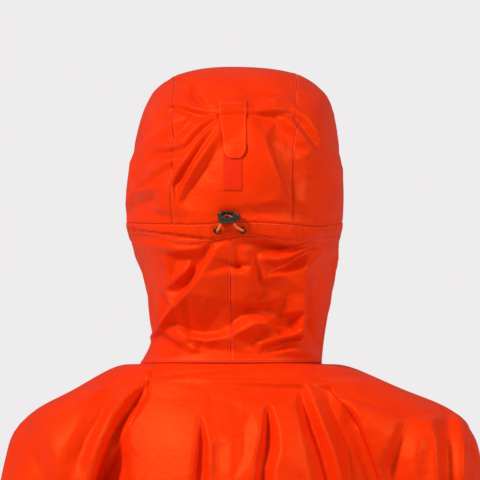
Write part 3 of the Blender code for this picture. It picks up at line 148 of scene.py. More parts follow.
FRONT_SEAM_SHARE = 0.69
ZIP_HALF_SLOT = 5.5 * MM
ZIP_END_ROW = 12              # body row at the foot of the zip
CHIN_ROW = 2                  # hood level at the top of the zip
SIDE_NAMES = ((1, "left"), (-1, "right"))

# ---------------------------------------------------------------- creases, mm
# A crease runs from (across_a, z_a) to (across_b, z_b), bowed aside by bow at its middle, positive to
# the right of its way. Its half width goes from wide_a to wide_b; steep moves width from its right
# flank to its left (-1 to 1). Height over 0 is a ridge. "across" grows to the viewer's right.
CREASE_COLUMNS = ("across_a", "z_a", "across_b", "z_b", "bow", "wide_a", "wide_b", "steep", "height")
CREASES = {
    "back": (
        # body
        (-158, -150, -40, -250, -14, 14, 24, 0, -5), (160, -140, 60, -270, 12, 14, 30, 0.2, -10.5),
        (-140, -130, -90, -330, 8, 14, 32, 0.2, 9.4), (20, -150, -10, -330, 6, 14, 26, 0, 4.6),
        (150, -180, 110, -420, -6, 12, 26, 0, 5), (-60, -230, -80, -460, 6, 14, 24, 0.3, -4.6),
        (60, -300, 40, -560, -8, 14, 26, 0, -5), (-120, -360, -130, -700, 5, 14, 26, -0.2, -6),
        (-30, -420, -36, -700, -6, 13, 24, 0.2, 5.6), (96, -430, 100, -705, 6, 14, 24, 0, 5.6),
        (20, -500, 26, -705, 0, 12, 22, 0, -5.4), (-80, -480, -78, -705, 0, 10, 18, 0, 4),
        (-150, -300, -100, -250, 6, 9, 12, 0, -3.6), (140, -330, 80, -300, 5, 9, 12, 0, -3),
        # sleeves
        (-206, -240, -262, -330, 6, 7, 12, 0.2, -4.6), (-212, -300, -276, -372, 5, 7, 11, 0, 4.2),
        (-222, -360, -284, -420, 4, 6, 10, 0, -4.6), (-236, -440, -290, -476, 3, 6, 9, 0, 3.6),
        (-244, -500, -298, -560, 3, 6, 9, 0, -3.6), (206, -250, 262, -336, -6, 7, 12, -0.2, -4.6),
        (212, -310, 276, -380, -5, 7, 11, 0, 4.2), (222, -372, 284, -428, -4, 6, 10, 0, -4.6),
        (238, -450, 292, -486, -3, 6, 9, 0, 3.6), (246, -510, 300, -566, -3, 6, 9, 0, -3.6),
    ),
    "front": (
        # body and neck
        (-150, -90, -40, -220, 12, 10, 22, 0.3, -5.6), (150, -90, 46, -210, -12, 10, 22, -0.3, -5.6),
        (-110, -60, -70, -170, 6, 10, 18, 0, 4.4), (108, -60, 74, -180, -6, 10, 18, 0, 4.4),
        (-24, -100, -60, -230, 4, 9, 16, 0.2, 3), (26, -120, 56, -250, -4, 9, 16, 0, 3),
        (-10, -268, -54, -360, 4, 8, 18, 0.3, -4), (12, -268, 50, -380, -4, 8, 18, 0, -4.4),
        (-120, -250, -90, -500, 8, 12, 24, 0, 5.4), (126, -240, 100, -470, -6, 12, 24, 0.2, 5),
        (-150, -200, -90, -300, 10, 9, 16, 0, -4.4), (150, -210, 96, -320, -10, 9, 16, 0, -4),
        (0, -340, 6, -600, 5, 14, 24, 0, 4.6), (-56, -440, -66, -706, -5, 12, 22, 0.2, -6),
        (60, -420, 54, -706, 6, 12, 24, 0, -6.4), (112, -520, 120, -706, 0, 12, 20, 0, 5),
        (-112, -540, -118, -706, 0, 10, 20, 0, 4.4), (-40, 40, -74, -4, 4, 7, 10, 0, -4),
        (42, 36, 70, -6, -4, 7, 10, 0.2, -3.6), (-52, 66, -88, 30, 3, 6, 9, 0, 3),
        (56, 62, 86, 24, -3, 6, 9, 0, 3),
        # sleeves
        (204, -330, 276, -352, 3, 5, 8, 0.2, -5.6), (208, -356, 280, -372, 3, 5, 8, 0, 4.4),
        (210, -392, 284, -384, -3, 5, 8, 0, -5.4), (216, -424, 288, -404, -3, 5, 8, 0, 4),
        (228, -470, 290, -500, 3, 6, 9, 0, -3.6), (-204, -338, -276, -358, -3, 5, 8, -0.2, -5.6),
        (-208, -364, -280, -378, -3, 5, 8, 0, 4.4), (-210, -400, -284, -390, 3, 5, 8, 0, -5.4),
        (-216, -430, -288, -410, 3, 5, 8, 0, 4), (-228, -476, -290, -506, -3, 6, 9, 0, -3.6),
    ),
    "left": (
        # hood
        (60, 236, -60, 190, 8, 9, 14, 0, -1), (40, 214, -80, 172, 6, 8, 12, 0.3, 0.9),
        (84, 196, 10, 168, 5, 7, 10, 0, -0.8), (-30, 262, -110, 214, 6, 9, 14, 0, 0.8),
        (30, 118, -66, 30, -7, 8, 13, 0.3, -1.3), (10, 120, -96, 58, -5, 8, 12, 0, 1),
        (-60, 118, -128, 84, -4, 6, 10, 0.2, -0.8), (50, 92, 6, 20, -4, 7, 11, 0, 0.8),
        (20, 64, -40, 4, -4, 6, 9, 0, -0.8),
        # sleeve
        (44, -70, 10, -180, -6, 10, 18, 0, -4), (-20, -60, -40, -190, 6, 10, 20, 0, 3.6),
        (60, -150, 30, -290, -8, 9, 16, 0.2, 4.6), (-62, -170, 6, -300, 10, 9, 15, 0, -4.4),
        (52, -290, -44, -372, 8, 7, 12, 0.3, -6), (58, -340, -30, -384, 6, 7, 11, 0, 4.6),
        (46, -404, -60, -388, -6, 7, 11, 0, -5.4), (36, -440, -70, -420, -6, 7, 11, 0.2, 4.2),
        (20, -486, -66, -540, 6, 7, 11, 0, -5), (4, -540, -80, -590, 5, 6, 10, 0, 3.8),
        (-40, -570, -84, -622, 3, 6, 9, 0, -3.8),
    ),
    "right": (
        # hood
        (-60, 230, 60, 196, -8, 9, 14, 0, -1), (-36, 206, 84, 176, -6, 8, 12, -0.3, 0.8),
        (-88, 190, -14, 164, -5, 7, 10, 0, -0.7), (24, 266, 112, 218, -6, 9, 14, 0, 0.8),
        (-30, 118, 70, 34, 7, 8, 13, -0.3, -1.3), (-14, 120, 100, 62, 5, 8, 12, 0, 1),
        (56, 118, 126, 80, 4, 6, 10, -0.2, -0.8), (-50, 88, -10, 16, 4, 7, 11, 0, 0.7),
        # sleeve
        (-44, -80, -8, -190, 6, 10, 18, 0, -4), (24, -60, 44, -180, -6, 10, 20, 0, 3.6),
        (-58, -160, -26, -300, 8, 9, 16, -0.2, 4.6), (60, -180, -8, -310, -10, 9, 15, 0, -4.4),
        (-50, -300, 48, -380, -8, 7, 12, -0.3, -6), (-56, -352, 34, -394, -6, 7, 11, 0, 4.6),
        (-44, -412, 62, -396, 6, 7, 11, 0, -5.4), (-34, -450, 72, -428, 6, 7, 11, -0.2, 4.2),
        (-18, -496, 68, -548, -6, 7, 11, 0, -5), (0, -548, 82, -596, -5, 6, 10, 0, 3.8),
    ),
}
CREST = 0.10                  # how round a crease's crest is, as a share of its half width
FLANK_POWER = 1.45            # 1 would make flat flanks with a hard foot, 2 hollow ones with a soft foot
CREASE_LEAD = 0.06            # share of its length that a crease runs on past its ends
CREASE_START = 0.22           # share over which it rises at its pinned end
CREASE_END = 0.48             # share over which it dies away at its spread end
CREASE_POINT = 0.35           # a crease narrows to this share of its width where it dies away
CREASE_SHIFT = 0.7            # share of the half width that a steepness of 1 moves to the other flank
CREASE_ROOM = 1.6             # cloth further from a crease than its half width times this, and
CREASE_ROOM_MORE = 2          # this many mm, isn't looked at
FACING = (0.12, 0.38)         # a crease starts where the cloth faces its side this much, and grows

# Folds that the photo shows, seen from behind. Each line is a crest or a valley: (across, z, height) in
# mm at each of its points. Flat facets span the lines, as those of creased nylon do.
FACET_LINES = (
    # crown: cap, tuck and the fans on both sides of the tab
    ((-63, 266.5, 2), (-41, 261, 3), (-25, 257.9, 3), (-13, 255.9, 2)),
    ((-61, 264, -2), (-41, 258.4, -3), (-25, 255.4, -3), (-13, 253.4, -2)),
    ((15, 258.4, 2), (27, 257.9, 2), (43, 258.4, 3), (62, 258.9, 1)),
    ((16, 255.4, -2), (29, 254.9, -3), (44, 255.4, -3), (61, 256.4, -1)),
    ((-69, 252, -2), (-82, 239, -1)),
    ((-45, 253, 1), (-60, 247, 2), (-77, 237, 1), (-85, 234, 0)),
    ((-41, 249, -2), (-54, 237, -3), (-64, 229, -3), (-82, 227, -1)),
    ((-15, 250, -2), (-28, 239, -3), (-39, 227, -3)),
    ((-17, 253, 2), (-31, 244, 3), (-41, 234, 3), (-48, 225, 3), (-62, 222, 1), (-80, 223, 1)),
    ((-45, 220, -2), (-67, 216, -4), (-82, 214, -4), (-95, 198, -2)),
    ((-13, 244, 1), (-25, 237, 2), (-34, 227, 3), (-49, 204, 4), (-61, 182, 4), (-72, 159, 3)),
    ((-52, 210, 1), (-67, 206, 3), (-82, 195, 3), (-95, 184, 2)),
    ((-60, 200, -1), (-72, 193, -1), (-90, 182, 0)),
    ((-102, 177, 2), (-87, 179, 4), (-72, 181, 4)),
    ((-104, 162, -4), (-92, 164, -5), (-80, 167, -4)),
    ((-84, 153, -2), (-79, 162, 0)),
    ((-17, 240, -1), (-27, 227, -3), (-39, 208, -3), (-51, 190, -3), (-56, 180, -1)),
    ((-13, 236, 2), (-22, 223, 3), (-34, 205, 4), (-45, 184, 3), (-53, 162, 2)),
    ((-12, 228, -1), (-19, 214, -3), (-29, 198, -4), (-41, 181, -3), (-50, 167, -1)),
    ((20, 248, 2), (27, 218, 3), (31, 188, 3), (35, 172, 2)),
    ((35, 229, 3), (41, 210, 4), (49, 190, 4), (55, 172, 3)),
    ((40, 229, -2), (47, 210, -3), (53, 193, -3), (59, 176, -3), (64, 164, -1)),
    ((48, 250, -4), (56, 238, -5), (66, 223, -3), (72, 208, -1)),
    ((54, 252, 2), (62, 244, 4), (73, 230, 4), (84, 218, 3), (91, 208, 0)),
    ((67, 252, -2), (73, 246, -3), (79, 237, -3), (84, 229, -2)),
    ((71, 255, 2), (78, 249, 3), (87, 236, 3), (96, 216, 1)),
    ((61, 213, -2), (70, 200, -3), (80, 190, -2), (87, 176, -1)),
    ((68, 158, -2), (80, 151, -2)),
    ((73, 165, 1), (85, 157, 1)),
    ((19, 165, 1), (31, 164, 2), (45, 167, 3), (57, 167, 2)),
    ((23, 154, -2), (33, 158, -3), (50, 159, -3)),
    ((-44, 290, 1), (-50, 279, 2), (-57, 272, 2)),
    ((-39, 290, -2), (-39, 277, -3), (-33, 268, -3), (-25, 262, -1)),
    ((-32, 290, 1), (-32, 277, 1), (-25, 268, 1)),
    ((25, 263, -2), (30, 271, -3), (39, 277, -3), (50, 279, -2), (62, 280, -1)),
    ((34, 264, 2), (41, 271, 3), (51, 273, 3), (60, 270, 2)),
    ((2, 289, 2), (2, 274, 2)),
    ((-6, 233, 0), (7, 233, 0), (-6, 178, 0), (7, 178, 0)),
    ((-11, 162, 0), (9, 162, 0), (-31, 152, 0), (-52, 149, 0)),
    ((100, 193, 0), (105, 167, 0), (98, 152, 0)),
    # neck part
    ((-17, 128, -2), (-24, 117, -4), (-35, 98, -6), (-45, 82, -5), (-52, 73, -2)),
    ((-9, 128, 2), (-19, 112, 5), (-32, 92, 7), (-43, 76, 9), (-57, 60, 9), (-69, 44, 8), (-79, 31, 4)),
    ((-60, 39, -2), (-44, 31, -6), (-28, 29, -6), (-13, 31, -5), (-4, 37, -4)),
    ((-64, 35, 1), (-54, 35, 2), (-42, 26, 2), (-26, 24, 3), (-5, 27, 3)),
    ((-69, 112, -1), (-56, 105, -5), (-41, 107, -5), (-32, 111, -2)),
    ((-72, 120, 2), (-52, 117, 2), (-33, 119, 2)),
    ((-45, 96, 3), (-60, 83, 4), (-69, 76, 3)),
    ((-76, 72, -3), (-69, 61, -6), (-69, 54, -6), (-77, 41, -3)),
    ((-75, 27, -1), (-65, 20, -4), (-54, 13, -4), (-44, 10, -1)),
    ((-48, 20, 2), (-34, 13, 2)),
    ((-40, 22, -1), (-32, 16, -4), (-22, 13, -3)),
    ((-68, 31, 2), (-54, 23, 3)),
    ((1, 127, 1), (2, 105, 1)),
    ((6, 126, -2), (6, 105, -2)),
    ((0, 101, -2), (9, 99, -5), (17, 101, -2)),
    ((1, 95, 2), (15, 95, 4)),
    ((13, 117, 2), (17, 106, 3), (20, 91, 4), (22, 75, 3)),
    ((25, 105, -3), (29, 91, -4), (33, 76, -3), (25, 66, -2)),
    ((16, 123, -3), (31, 119, -6), (50, 117, -7), (70, 121, -7), (90, 126, -4), (104, 127, -2)),
    ((31, 108, 1), (48, 107, 3), (60, 111, 4), (73, 117, 4), (88, 122, 2)),
    ((47, 97, -5), (60, 101, -7), (72, 109, -7), (86, 116, -6), (100, 119, -2)),
    ((35, 89, 1), (54, 92, 2), (72, 98, 4)),
    ((77, 100, 6), (75, 76, 8), (73, 56, 9), (71, 35, 9), (72, 27, 6)),
    ((80, 93, -3), (81, 76, -8), (83, 56, -10), (85, 35, -9), (88, 20, -5)),
    ((-1, 37, -4), (6, 46, -6), (18, 53, -7), (32, 52, -6), (50, 48, -5), (67, 45, -3)),
    ((-1, 27, 3), (12, 36, 5), (26, 43, 5), (36, 43, 5), (43, 36, 3)),
    ((39, 44, 1), (47, 35, -4), (56, 34, -4), (67, 39, -4)),
    ((56, 28, 4), (69, 34, 6)),
    ((51, 18, -5), (60, 21, -5), (71, 23, -5), (77, 20, -4)),
    ((32, 20, 2), (50, 25, 4), (68, 28, 5)),
    ((12, 13, -1), (21, 21, -3), (32, 27, -2)),
    ((28, 8, -1), (40, 12, -4), (52, 14, -2)),
    ((60, 13, 3), (73, 14, 2)),
    ((-1, 66, 0), (14, 63, 1), (40, 66, 0), (58, 70, 0)),
    # back and shoulders
    ((-81, -15, -2), (-92, -28, -6), (-102, -40, -9), (-113, -57, -11),
     (-122, -77, -12), (-128, -97, -12), (-133, -119, -11),
     (-137, -150, -8), (-139, -190, -4), (-138, -235, 0)),
    ((-85, -13, 2), (-98, -27, 4), (-111, -42, 6), (-121, -56, 8),
     (-130, -75, 9), (-137, -95, 9), (-144, -119, 8),
     (-151, -150, 6), (-156, -195, 3), (-158, -230, 0)),
    ((-114, -81, -3), (-112, -97, -5), (-109, -119, -5), (-104, -150, -4), (-100, -200, -1), (-98, -240, 0)),
    ((-104, -66, 1), (-101, -97, 2), (-97, -119, 2), (-92, -160, 1), (-88, -210, 0)),
    ((-120, -24, -2), (-127, -38, -4), (-135, -54, -5), (-146, -73, -4), (-157, -97, -3), (-161, -109, -1)),
    ((-138, -31, 2), (-150, -51, 3), (-164, -77, 3), (-176, -107, 3), (-174, -135, 1), (-172, -165, 0)),
    ((-213, -61, -2), (-206, -82, -4), (-199, -102, -5), (-189, -119, -5), (-183, -145, -4), (-178, -180, 0)),
    ((-191, -61, 2), (-182, -92, 3)),
    ((-31, -56, -1), (-28, -77, -6), (-29, -97, -7), (-31, -119, -7),
     (-33, -150, -6), (-36, -195, -3), (-38, -250, 0)),
    ((-34, -53, 1), (-37, -87, 2), (-41, -119, 2), (-46, -160, 2), (-50, -215, 0)),
    ((-28, -55, 1), (-21, -87, 3), (-20, -119, 3), (-17, -155, 2), (-15, -220, 0)),
    ((38, -43, -2), (39, -61, -7), (38, -82, -8), (33, -102, -7), (33, -119, -7),
     (34, -145, -6), (37, -190, -3), (41, -245, 0)),
    ((34, -40, 1), (30, -68, 3), (24, -95, 3), (23, -119, 3), (22, -150, 2), (22, -200, 0)),
    ((42, -42, 1), (49, -66, 3), (51, -87, 4), (45, -103, 3), (44, -119, 3),
     (47, -155, 2), (52, -205, 1), (56, -235, 0)),
    ((-23, -31, 0), (-22, -35, -1), (-22, -39, 0)),
    ((3, -37, 0), (3, -41, -1), (3, -45, 0)),
    ((-15, -68, 0), (-14, -87, -2), (-14, -107, -2), (-12, -140, 0)),
    ((20, -51, 0), (14, -66, -2), (13, -89, -1)),
    ((1, -77, 1), (0, -119, 1), (0, -160, 1), (-1, -230, 0)),
    ((-83, -36, 0), (-72, -77, 1), (-67, -119, 1), (-63, -170, 1), (-61, -240, 0)),
    ((71, -24, -2), (75, -38, -5), (84, -61, -7), (95, -92, -7), (102, -119, -7),
     (107, -145, -6), (111, -190, -3), (113, -245, 0)),
    ((65, -36, 1), (70, -66, 2), (81, -119, 2), (87, -160, 2), (91, -215, 0)),
    ((78, -22, 3), (85, -41, 4), (94, -66, 5), (105, -95, 5), (111, -119, 5),
     (116, -150, 4), (122, -195, 2), (126, -240, 0)),
    ((99, -27, -2), (106, -46, -5), (116, -66, -7), (121, -92, -7), (123, -119, -7),
     (125, -140, -5), (130, -170, -2), (134, -200, 0)),
    ((104, -24, 3), (121, -44, 6), (133, -61, 7), (144, -85, 7), (157, -119, 7),
     (165, -145, 5), (172, -180, 2), (175, -205, 0)),
    ((114, -33, 0), (126, -53, -2), (132, -77, -3), (139, -102, -3), (143, -119, -3),
     (147, -150, -2), (150, -185, 0)),
    ((186, -54, -2), (175, -69, -5), (169, -87, -6), (161, -105, -7), (164, -119, -5),
     (172, -145, -4), (179, -180, -2), (183, -210, 0)),
    ((172, -61, 1), (168, -72, 3), (162, -87, 4), (156, -103, 5)),
    ((197, -68, 2), (192, -92, 3), (190, -119, 3), (191, -150, 2), (193, -180, 0)),
    ((207, -61, 3), (209, -77, 5), (209, -119, 5), (211, -145, 4), (212, -185, 2), (213, -215, 0)),
    ((202, -82, 0), (201, -97, -2), (199, -119, -2), (200, -145, 0)),
    ((213, -63, -2), (219, -82, -4), (222, -119, -5), (223, -150, -4), (225, -190, -1), (226, -215, 0)),
    ((230, -54, -3), (229, -77, -7), (228, -119, -7), (229, -155, -5), (231, -195, -2), (232, -230, 0)),
    ((235, -61, 2), (237, -87, 3), (236, -119, 3), (237, -150, 1), (239, -185, 0)),
)
FACET_AREAS = (               # outlines (across, z) where the facets' height is 0
    ((-124, 310), (124, 310), (124, 142), (-124, 142)),
    ((-124, 128), (124, 128), (100, 2), (-100, 2)),
    ((-262, -16), (262, -16), (262, -310), (-262, -310)),
)
FACET_STEEP = 1.6             # all facet heights times this
FACET_FACING = (0.02, 0.16)   # facets start where the cloth faces backwards this much, and grow
STRAIGHT_BACK = (0.0, 1.0, 0.0)    # facets rise halfway between the cloth's own direction and this
FACET_ROUND = 1               # how often their height is averaged with its neighbours, to round crests
FACET_MERGE = 0.01            # points of the lines nearer than this are one, mm

# Small creases that nylon keeps from being packed, spread at random over an area seen from one side:
# count, mean and spread of their direction in degrees, longest length and greatest height, mm.
SMALL_COLUMNS = ("side", "low_across", "high_across", "low_z", "high_z", "count", "turn", "spread",
                 "length", "height")
SMALL_CREASES = (
    ("back", -100, 100, 150, 290, 34, 75, 40, 34, 0.7),
    ("back", -95, 95, 8, 118, 36, 60, 60, 30, 0.9),
    ("back", -200, 200, -200, -20, 60, 85, 30, 50, 0.9),
    ("back", -190, 190, -700, -200, 70, 80, 40, 80, 1.4),
    ("front", -190, 190, -700, -80, 90, 85, 40, 80, 1.4),
    ("front", -90, 90, -40, 110, 24, 60, 50, 30, 1.0),
    ("left", -140, 100, 150, 290, 30, 20, 50, 40, 0.4),
    ("right", -100, 140, 150, 290, 30, -20, 50, 40, 0.4),
    ("left", -130, 80, 0, 118, 24, 45, 40, 30, 0.5),
    ("right", -80, 130, 0, 118, 24, -45, 40, 30, 0.5),
    ("left", -90, 90, -640, -40, 70, 30, 60, 46, 0.5),
    ("right", -90, 90, -640, -40, 70, -30, 60, 46, 0.5),
    ("back", -300, -190, -640, -190, 26, 40, 50, 40, 1.1),
    ("back", 190, 300, -640, -190, 26, -40, 50, 40, 1.1),
    ("front", -300, -190, -640, -190, 26, -30, 50, 40, 1.1),
    ("front", 190, 300, -640, -190, 26, 30, 50, 40, 1.1),
)
SMALL_SEED = 41
SMALL_SCALE = (0.3, 1.0)      # lowest and highest share of the longest length and of the height
SMALL_WIDE = (0.10, 0.20)     # half width as a share of the length
SMALL_BOW = 0.12              # greatest bow as a share of the length
SMALL_SPLAY = (1.0, 1.6)      # half width at the end as a share of that at the start
SMALL_STEEP = 0.5             # greatest steepness


# ---------------------------------------------------------------- curves and lofts
def table(columns, rows):
    """Rows of a table as one array for each named column, its lengths in m."""
    return {name: np.array(values, dtype=float) * (1 if name in NOT_LENGTHS else MM)
            for name, values in zip(columns, zip(*rows))}


def bezier(p0, p1, p2, p3, t):
    """Cubic curve: the four control points weighted by s^3, 3 s^2 t, 3 s t^2 and t^3 with s = 1 - t."""
    s = 1.0 - t
    return s ** 3 * p0 + 3 * s * s * t * p1 + 3 * s * t * t * p2 + t ** 3 * p3


def pairs(x, y):
    """Control points of one curve for each section, from one coordinate each."""
    return np.stack([x, y], axis=-1)[:, None, :]


def smooth(knots, values, at):
    """Cubic pieces through values at their knots; each slope is the average of its two neighbours'
    chord slopes, weighted by the other chord's length."""
    gaps = np.diff(knots)
    shape = (-1,) + (1,) * (values.ndim - 1)
    slopes = np.diff(values, axis=0) / gaps.reshape(shape)
    inner = (slopes[:-1] * gaps[1:].reshape(shape) + slopes[1:] * gaps[:-1].reshape(shape))
    inner = inner / (gaps[:-1] + gaps[1:]).reshape(shape)
    tangents = np.concatenate([slopes[:1], inner, slopes[-1:]])
    cell = np.clip(np.searchsorted(knots, at, side="right") - 1, 0, len(gaps) - 1)
    gap = gaps[cell].reshape(shape)
    t = ((at - knots[cell]) / gaps[cell]).reshape(shape)
    return ((2 * t ** 3 - 3 * t ** 2 + 1) * values[cell] + (t ** 3 - 2 * t ** 2 + t) * gap * tangents[cell]
            + (3 * t ** 2 - 2 * t ** 3) * values[cell + 1] + (t ** 3 - t ** 2) * gap * tangents[cell + 1])


def run_length(points):
    """Distance along a line of points, from 0 at its first point."""
    return np.concatenate([[0.0], np.cumsum(np.linalg.norm(np.diff(points, axis=0), axis=1))])


def unit(vectors):
    """Vectors scaled to length 1."""
    return vectors / np.maximum(np.linalg.norm(vectors, axis=-1, keepdims=True), 1e-12)


def soft_step(share):
    """0 to 1 with a level start and end: 3 t^2 - 2 t^3."""
    share = np.clip(share, 0, 1)
    return share * share * (3 - 2 * share)


def loft(sections, rows, knots):
    """Grid of points: the sections (n, columns, 3) run through smoothly at fractional row numbers."""
    return smooth(knots, sections, np.interp(rows, np.arange(len(knots)), knots))


def fine_rows(knots, marks):
    """Fractional row numbers at even steps of run length between marks, given as (row, step in m)."""
    pieces = []
    for (first, step), (last, _) in zip(marks, marks[1:]):
        count = max(int(round((knots[last] - knots[first]) / step)), 1)
        run = np.linspace(knots[first], knots[last], count + 1)[:-1]
        pieces.append(np.interp(run, knots, np.arange(len(knots))))
    return np.concatenate(pieces + [[float(marks[-1][0])]])


def hood_sections(shares, side):
    """All hood sections at the girth shares 0 (centre back) to 1 (edge); side is 1 left, -1 right."""
    level = table(HOOD_LEVEL_COLUMNS, HOOD_LEVELS)
    fan = table(CROWN_COLUMNS, CROWN_FAN)
    width_name = "left" if side > 0 else "right"
    angle = np.radians(np.concatenate([np.zeros(len(HOOD_LEVELS)), fan["angle"]]))[:, None]
    reach = np.concatenate([level["back_y"] - CROWN_HINGE_Y, fan["reach"]])
    width = np.concatenate([level[width_name], fan[width_name]])
    side_reach = np.concatenate([level["side_y"] - CROWN_HINGE_Y, fan["side_reach"]])
    edge_reach = np.concatenate([level["edge_y"] - CROWN_HINGE_Y, fan["edge_reach"]])
    edge_x = np.concatenate([level["edge_x"], fan["edge_x"]])
    turn = np.concatenate([level["turn_in"], np.full(len(CROWN_FAN), CROWN_TURN_IN)])
    full = np.concatenate([np.full(len(HOOD_LEVELS), HOOD_ROUND), fan["full_" + width_name]])

    back = bezier(
        pairs(0 * reach, reach), pairs(full * width, reach),
        pairs(width, side_reach + full * (reach - side_reach)), pairs(width, side_reach),
        np.clip(shares / SIDE_SHARE, 0, 1)[:, None])
    fore = side_reach - edge_reach
    front = bezier(
        pairs(width, side_reach), pairs(width, side_reach - HOOD_ROUND * fore),
        pairs(edge_x + turn * HOOD_ROUND * (width - edge_x), edge_reach + (1 - turn) * HOOD_ROUND * fore),
        pairs(edge_x, edge_reach),
        np.clip((shares - SIDE_SHARE) / (1 - SIDE_SHARE), 0, 1)[:, None])
    flat = np.where((shares <= SIDE_SHARE)[:, None], back, front)
    out, along = flat[..., 0], flat[..., 1]
    drop = np.concatenate([level["back_z"] - level["edge_z"], np.zeros(len(CROWN_FAN))])[:, None]
    base = np.concatenate([level["back_z"], np.full(len(CROWN_FAN), CROWN_HINGE_Z)])[:, None]
    y = CROWN_HINGE_Y + along * np.cos(angle)
    z = base + along * np.sin(angle) - drop * shares ** EDGE_DROP_POWER
    return np.stack([side * out, y, z], axis=-1)


def neck_ring(shares, side):
    """Points of the body's neck edge under the hood's lower edge, a cloth's width further in."""
    ring = hood_sections(shares, side)[0]
    outward = unit((ring - np.array([0.0, NECK_MIDDLE_Y, 0.0])) * (1, 1, 0))
    inner = ring - NECK_SEAT * outward
    inner[:, 0] = np.where(shares >= 1, side * ZIP_HALF_SLOT, inner[:, 0])
    return inner


def body_half(across, side, face):
    """Sections of the back (face 1) or front (-1), at 0 (centre) to 1 (seam), on the side 1 or -1."""
    body = table(BODY_COLUMNS, BODY)
    centre_y = body["back_y"] if face > 0 else body["front_y"]
    seam_y = body["seam_back_y"] if face > 0 else body["seam_front_y"]
    turn = np.radians(body["turn"])

    flat = bezier(
        pairs(0 * centre_y, centre_y), pairs(body["centre_pull"], centre_y),
        pairs(body["seam_x"] - body["seam_pull"] * np.cos(turn),
              seam_y + face * body["seam_pull"] * np.sin(turn)),
        pairs(body["seam_x"], seam_y), across[:, None])
    x, y = flat[..., 0], flat[..., 1]
    fall = np.clip(y / body["front_y"][:, None], 0, None) ** 2
    z = body["z"][:, None] - body["dip"][:, None] * fall
    sections = np.stack([side * x + body["lean"][:, None] * across, y, z], axis=-1)
    if face > 0:
        ring = neck_ring(across * BACK_SEAM_SHARE, side)
    else:
        ring = neck_ring(1 - across * (1 - FRONT_SEAM_SHARE), side)
    return np.concatenate([ring[None], sections])


def sleeve_sections(around, side):
    """Sections of a sleeve at 0 (back seam) over 0.5 (outside) to 1 (front seam), neck to cuff."""
    body = table(BODY_COLUMNS, BODY)
    raglan = table(RAGLAN_COLUMNS, RAGLAN)
    tube = table(SLEEVE_COLUMNS, SLEEVE)
    upper = len(RAGLAN)

    def column(top, low):
        return np.concatenate([top, low])

    z = column(body["z"][:upper], tube["z"])
    dip = column(body["dip"][:upper], 0 * tube["z"])
    front_y = column(body["front_y"][:upper], -np.ones(len(SLEEVE)))
    lean = column(body["lean"][:upper], 0 * tube["z"])
    seam_x = column(body["seam_x"][:upper], tube["in_x"])
    back_y = column(body["seam_back_y"][:upper], tube["mid_y"])
    fore_y = column(body["seam_front_y"][:upper], tube["mid_y"])
    out_x = column(raglan["out_x"], tube["out_x"])
    mid_y = column(raglan["mid_y"], tube["mid_y"])
    turn = np.radians(column(raglan["start_turn"], np.full(len(SLEEVE), -90.0)))
    start_pull = column(raglan["start_pull"], tube["pull"])
    out_pull = column(raglan["out_pull"], tube["pull"])

    def half(seam_y, face, t):
        return bezier(
            pairs(seam_x, seam_y),
            pairs(seam_x + start_pull * np.cos(turn), seam_y - face * start_pull * np.sin(turn)),
            pairs(out_x, mid_y + face * out_pull), pairs(out_x, mid_y), t[:, None])

    back = half(back_y, 1, np.clip(around * 2, 0, 1))
    front = half(fore_y, -1, np.clip(2 - around * 2, 0, 1))
    flat = np.where((around <= 0.5)[:, None], back, front)
    x, y = flat[..., 0], flat[..., 1]
    fall = np.clip(y / front_y[:, None], 0, None) ** 2
    sections = np.stack([side * x + lean[:, None], y, z[:, None] - dip[:, None] * fall], axis=-1)
    ring = neck_ring(BACK_SEAM_SHARE + around * (FRONT_SEAM_SHARE - BACK_SEAM_SHARE), side)
    return np.concatenate([ring[None], sections])


# ---------------------------------------------------------------- smooth grids of the cloth pieces
# Marks give the step between grid rows, in m, from a row of the table on.
BODY_MARKS = ((0, 2.1 * MM), (10, 3.6 * MM), (12, 6.4 * MM), (19, 0.0))
SLEEVE_MARKS = ((0, 2.1 * MM), (10, 4.2 * MM), (19, 0.0))
NECK_MARKS = ((0, 1.8 * MM), (5, 0.0))
CASING_MARKS = ((5, 1.4 * MM), (6, 0.0))
CROWN_MARKS = ((6, 1.8 * MM), (9, 1.2 * MM), (13, 2.6 * MM), (15, 0.0))
BACK_CELLS = 76               # cells from the centre to a seam, on each side
FRONT_CELLS = 38
SLEEVE_CELLS = 86             # all round
NECK_CELLS = 160
BAND_CELLS = 200              # casing, on each side
CENTRE_CELLS = 34
SIDE_CELLS = 92
SLOT_SHARE = 0.055            # where the zip slot's edge falls on the front's curves, before it is set
RELAX_PASSES = 14             # how often rows are averaged with their neighbours, to ease the sections


def relax(points, fixed):
    """Rows averaged with both neighbours, a quarter each, over and over; the fixed rows stay put."""
    free = np.ones(len(points), dtype=bool)
    free[[0, -1]] = False
    free[list(fixed)] = False
    eased = points.copy()
    for _ in range(RELAX_PASSES):
        middle = (eased[:-2] + 2 * eased[1:-1] + eased[2:]) / 4
        eased[1:-1] = np.where(free[1:-1, None, None], middle, eased[1:-1])
    return eased


def both_sides(half):
    """Grid from left to right through the centre: half(side) grids run from the centre outwards."""
    left = half(1)[:, ::-1]
    right = half(-1)
    return np.concatenate([left, right[:, 1:]], axis=1)


def row_of(rows, number):
    """Index of the grid row nearest to a section number."""
    return int(np.argmin(np.abs(rows - number)))


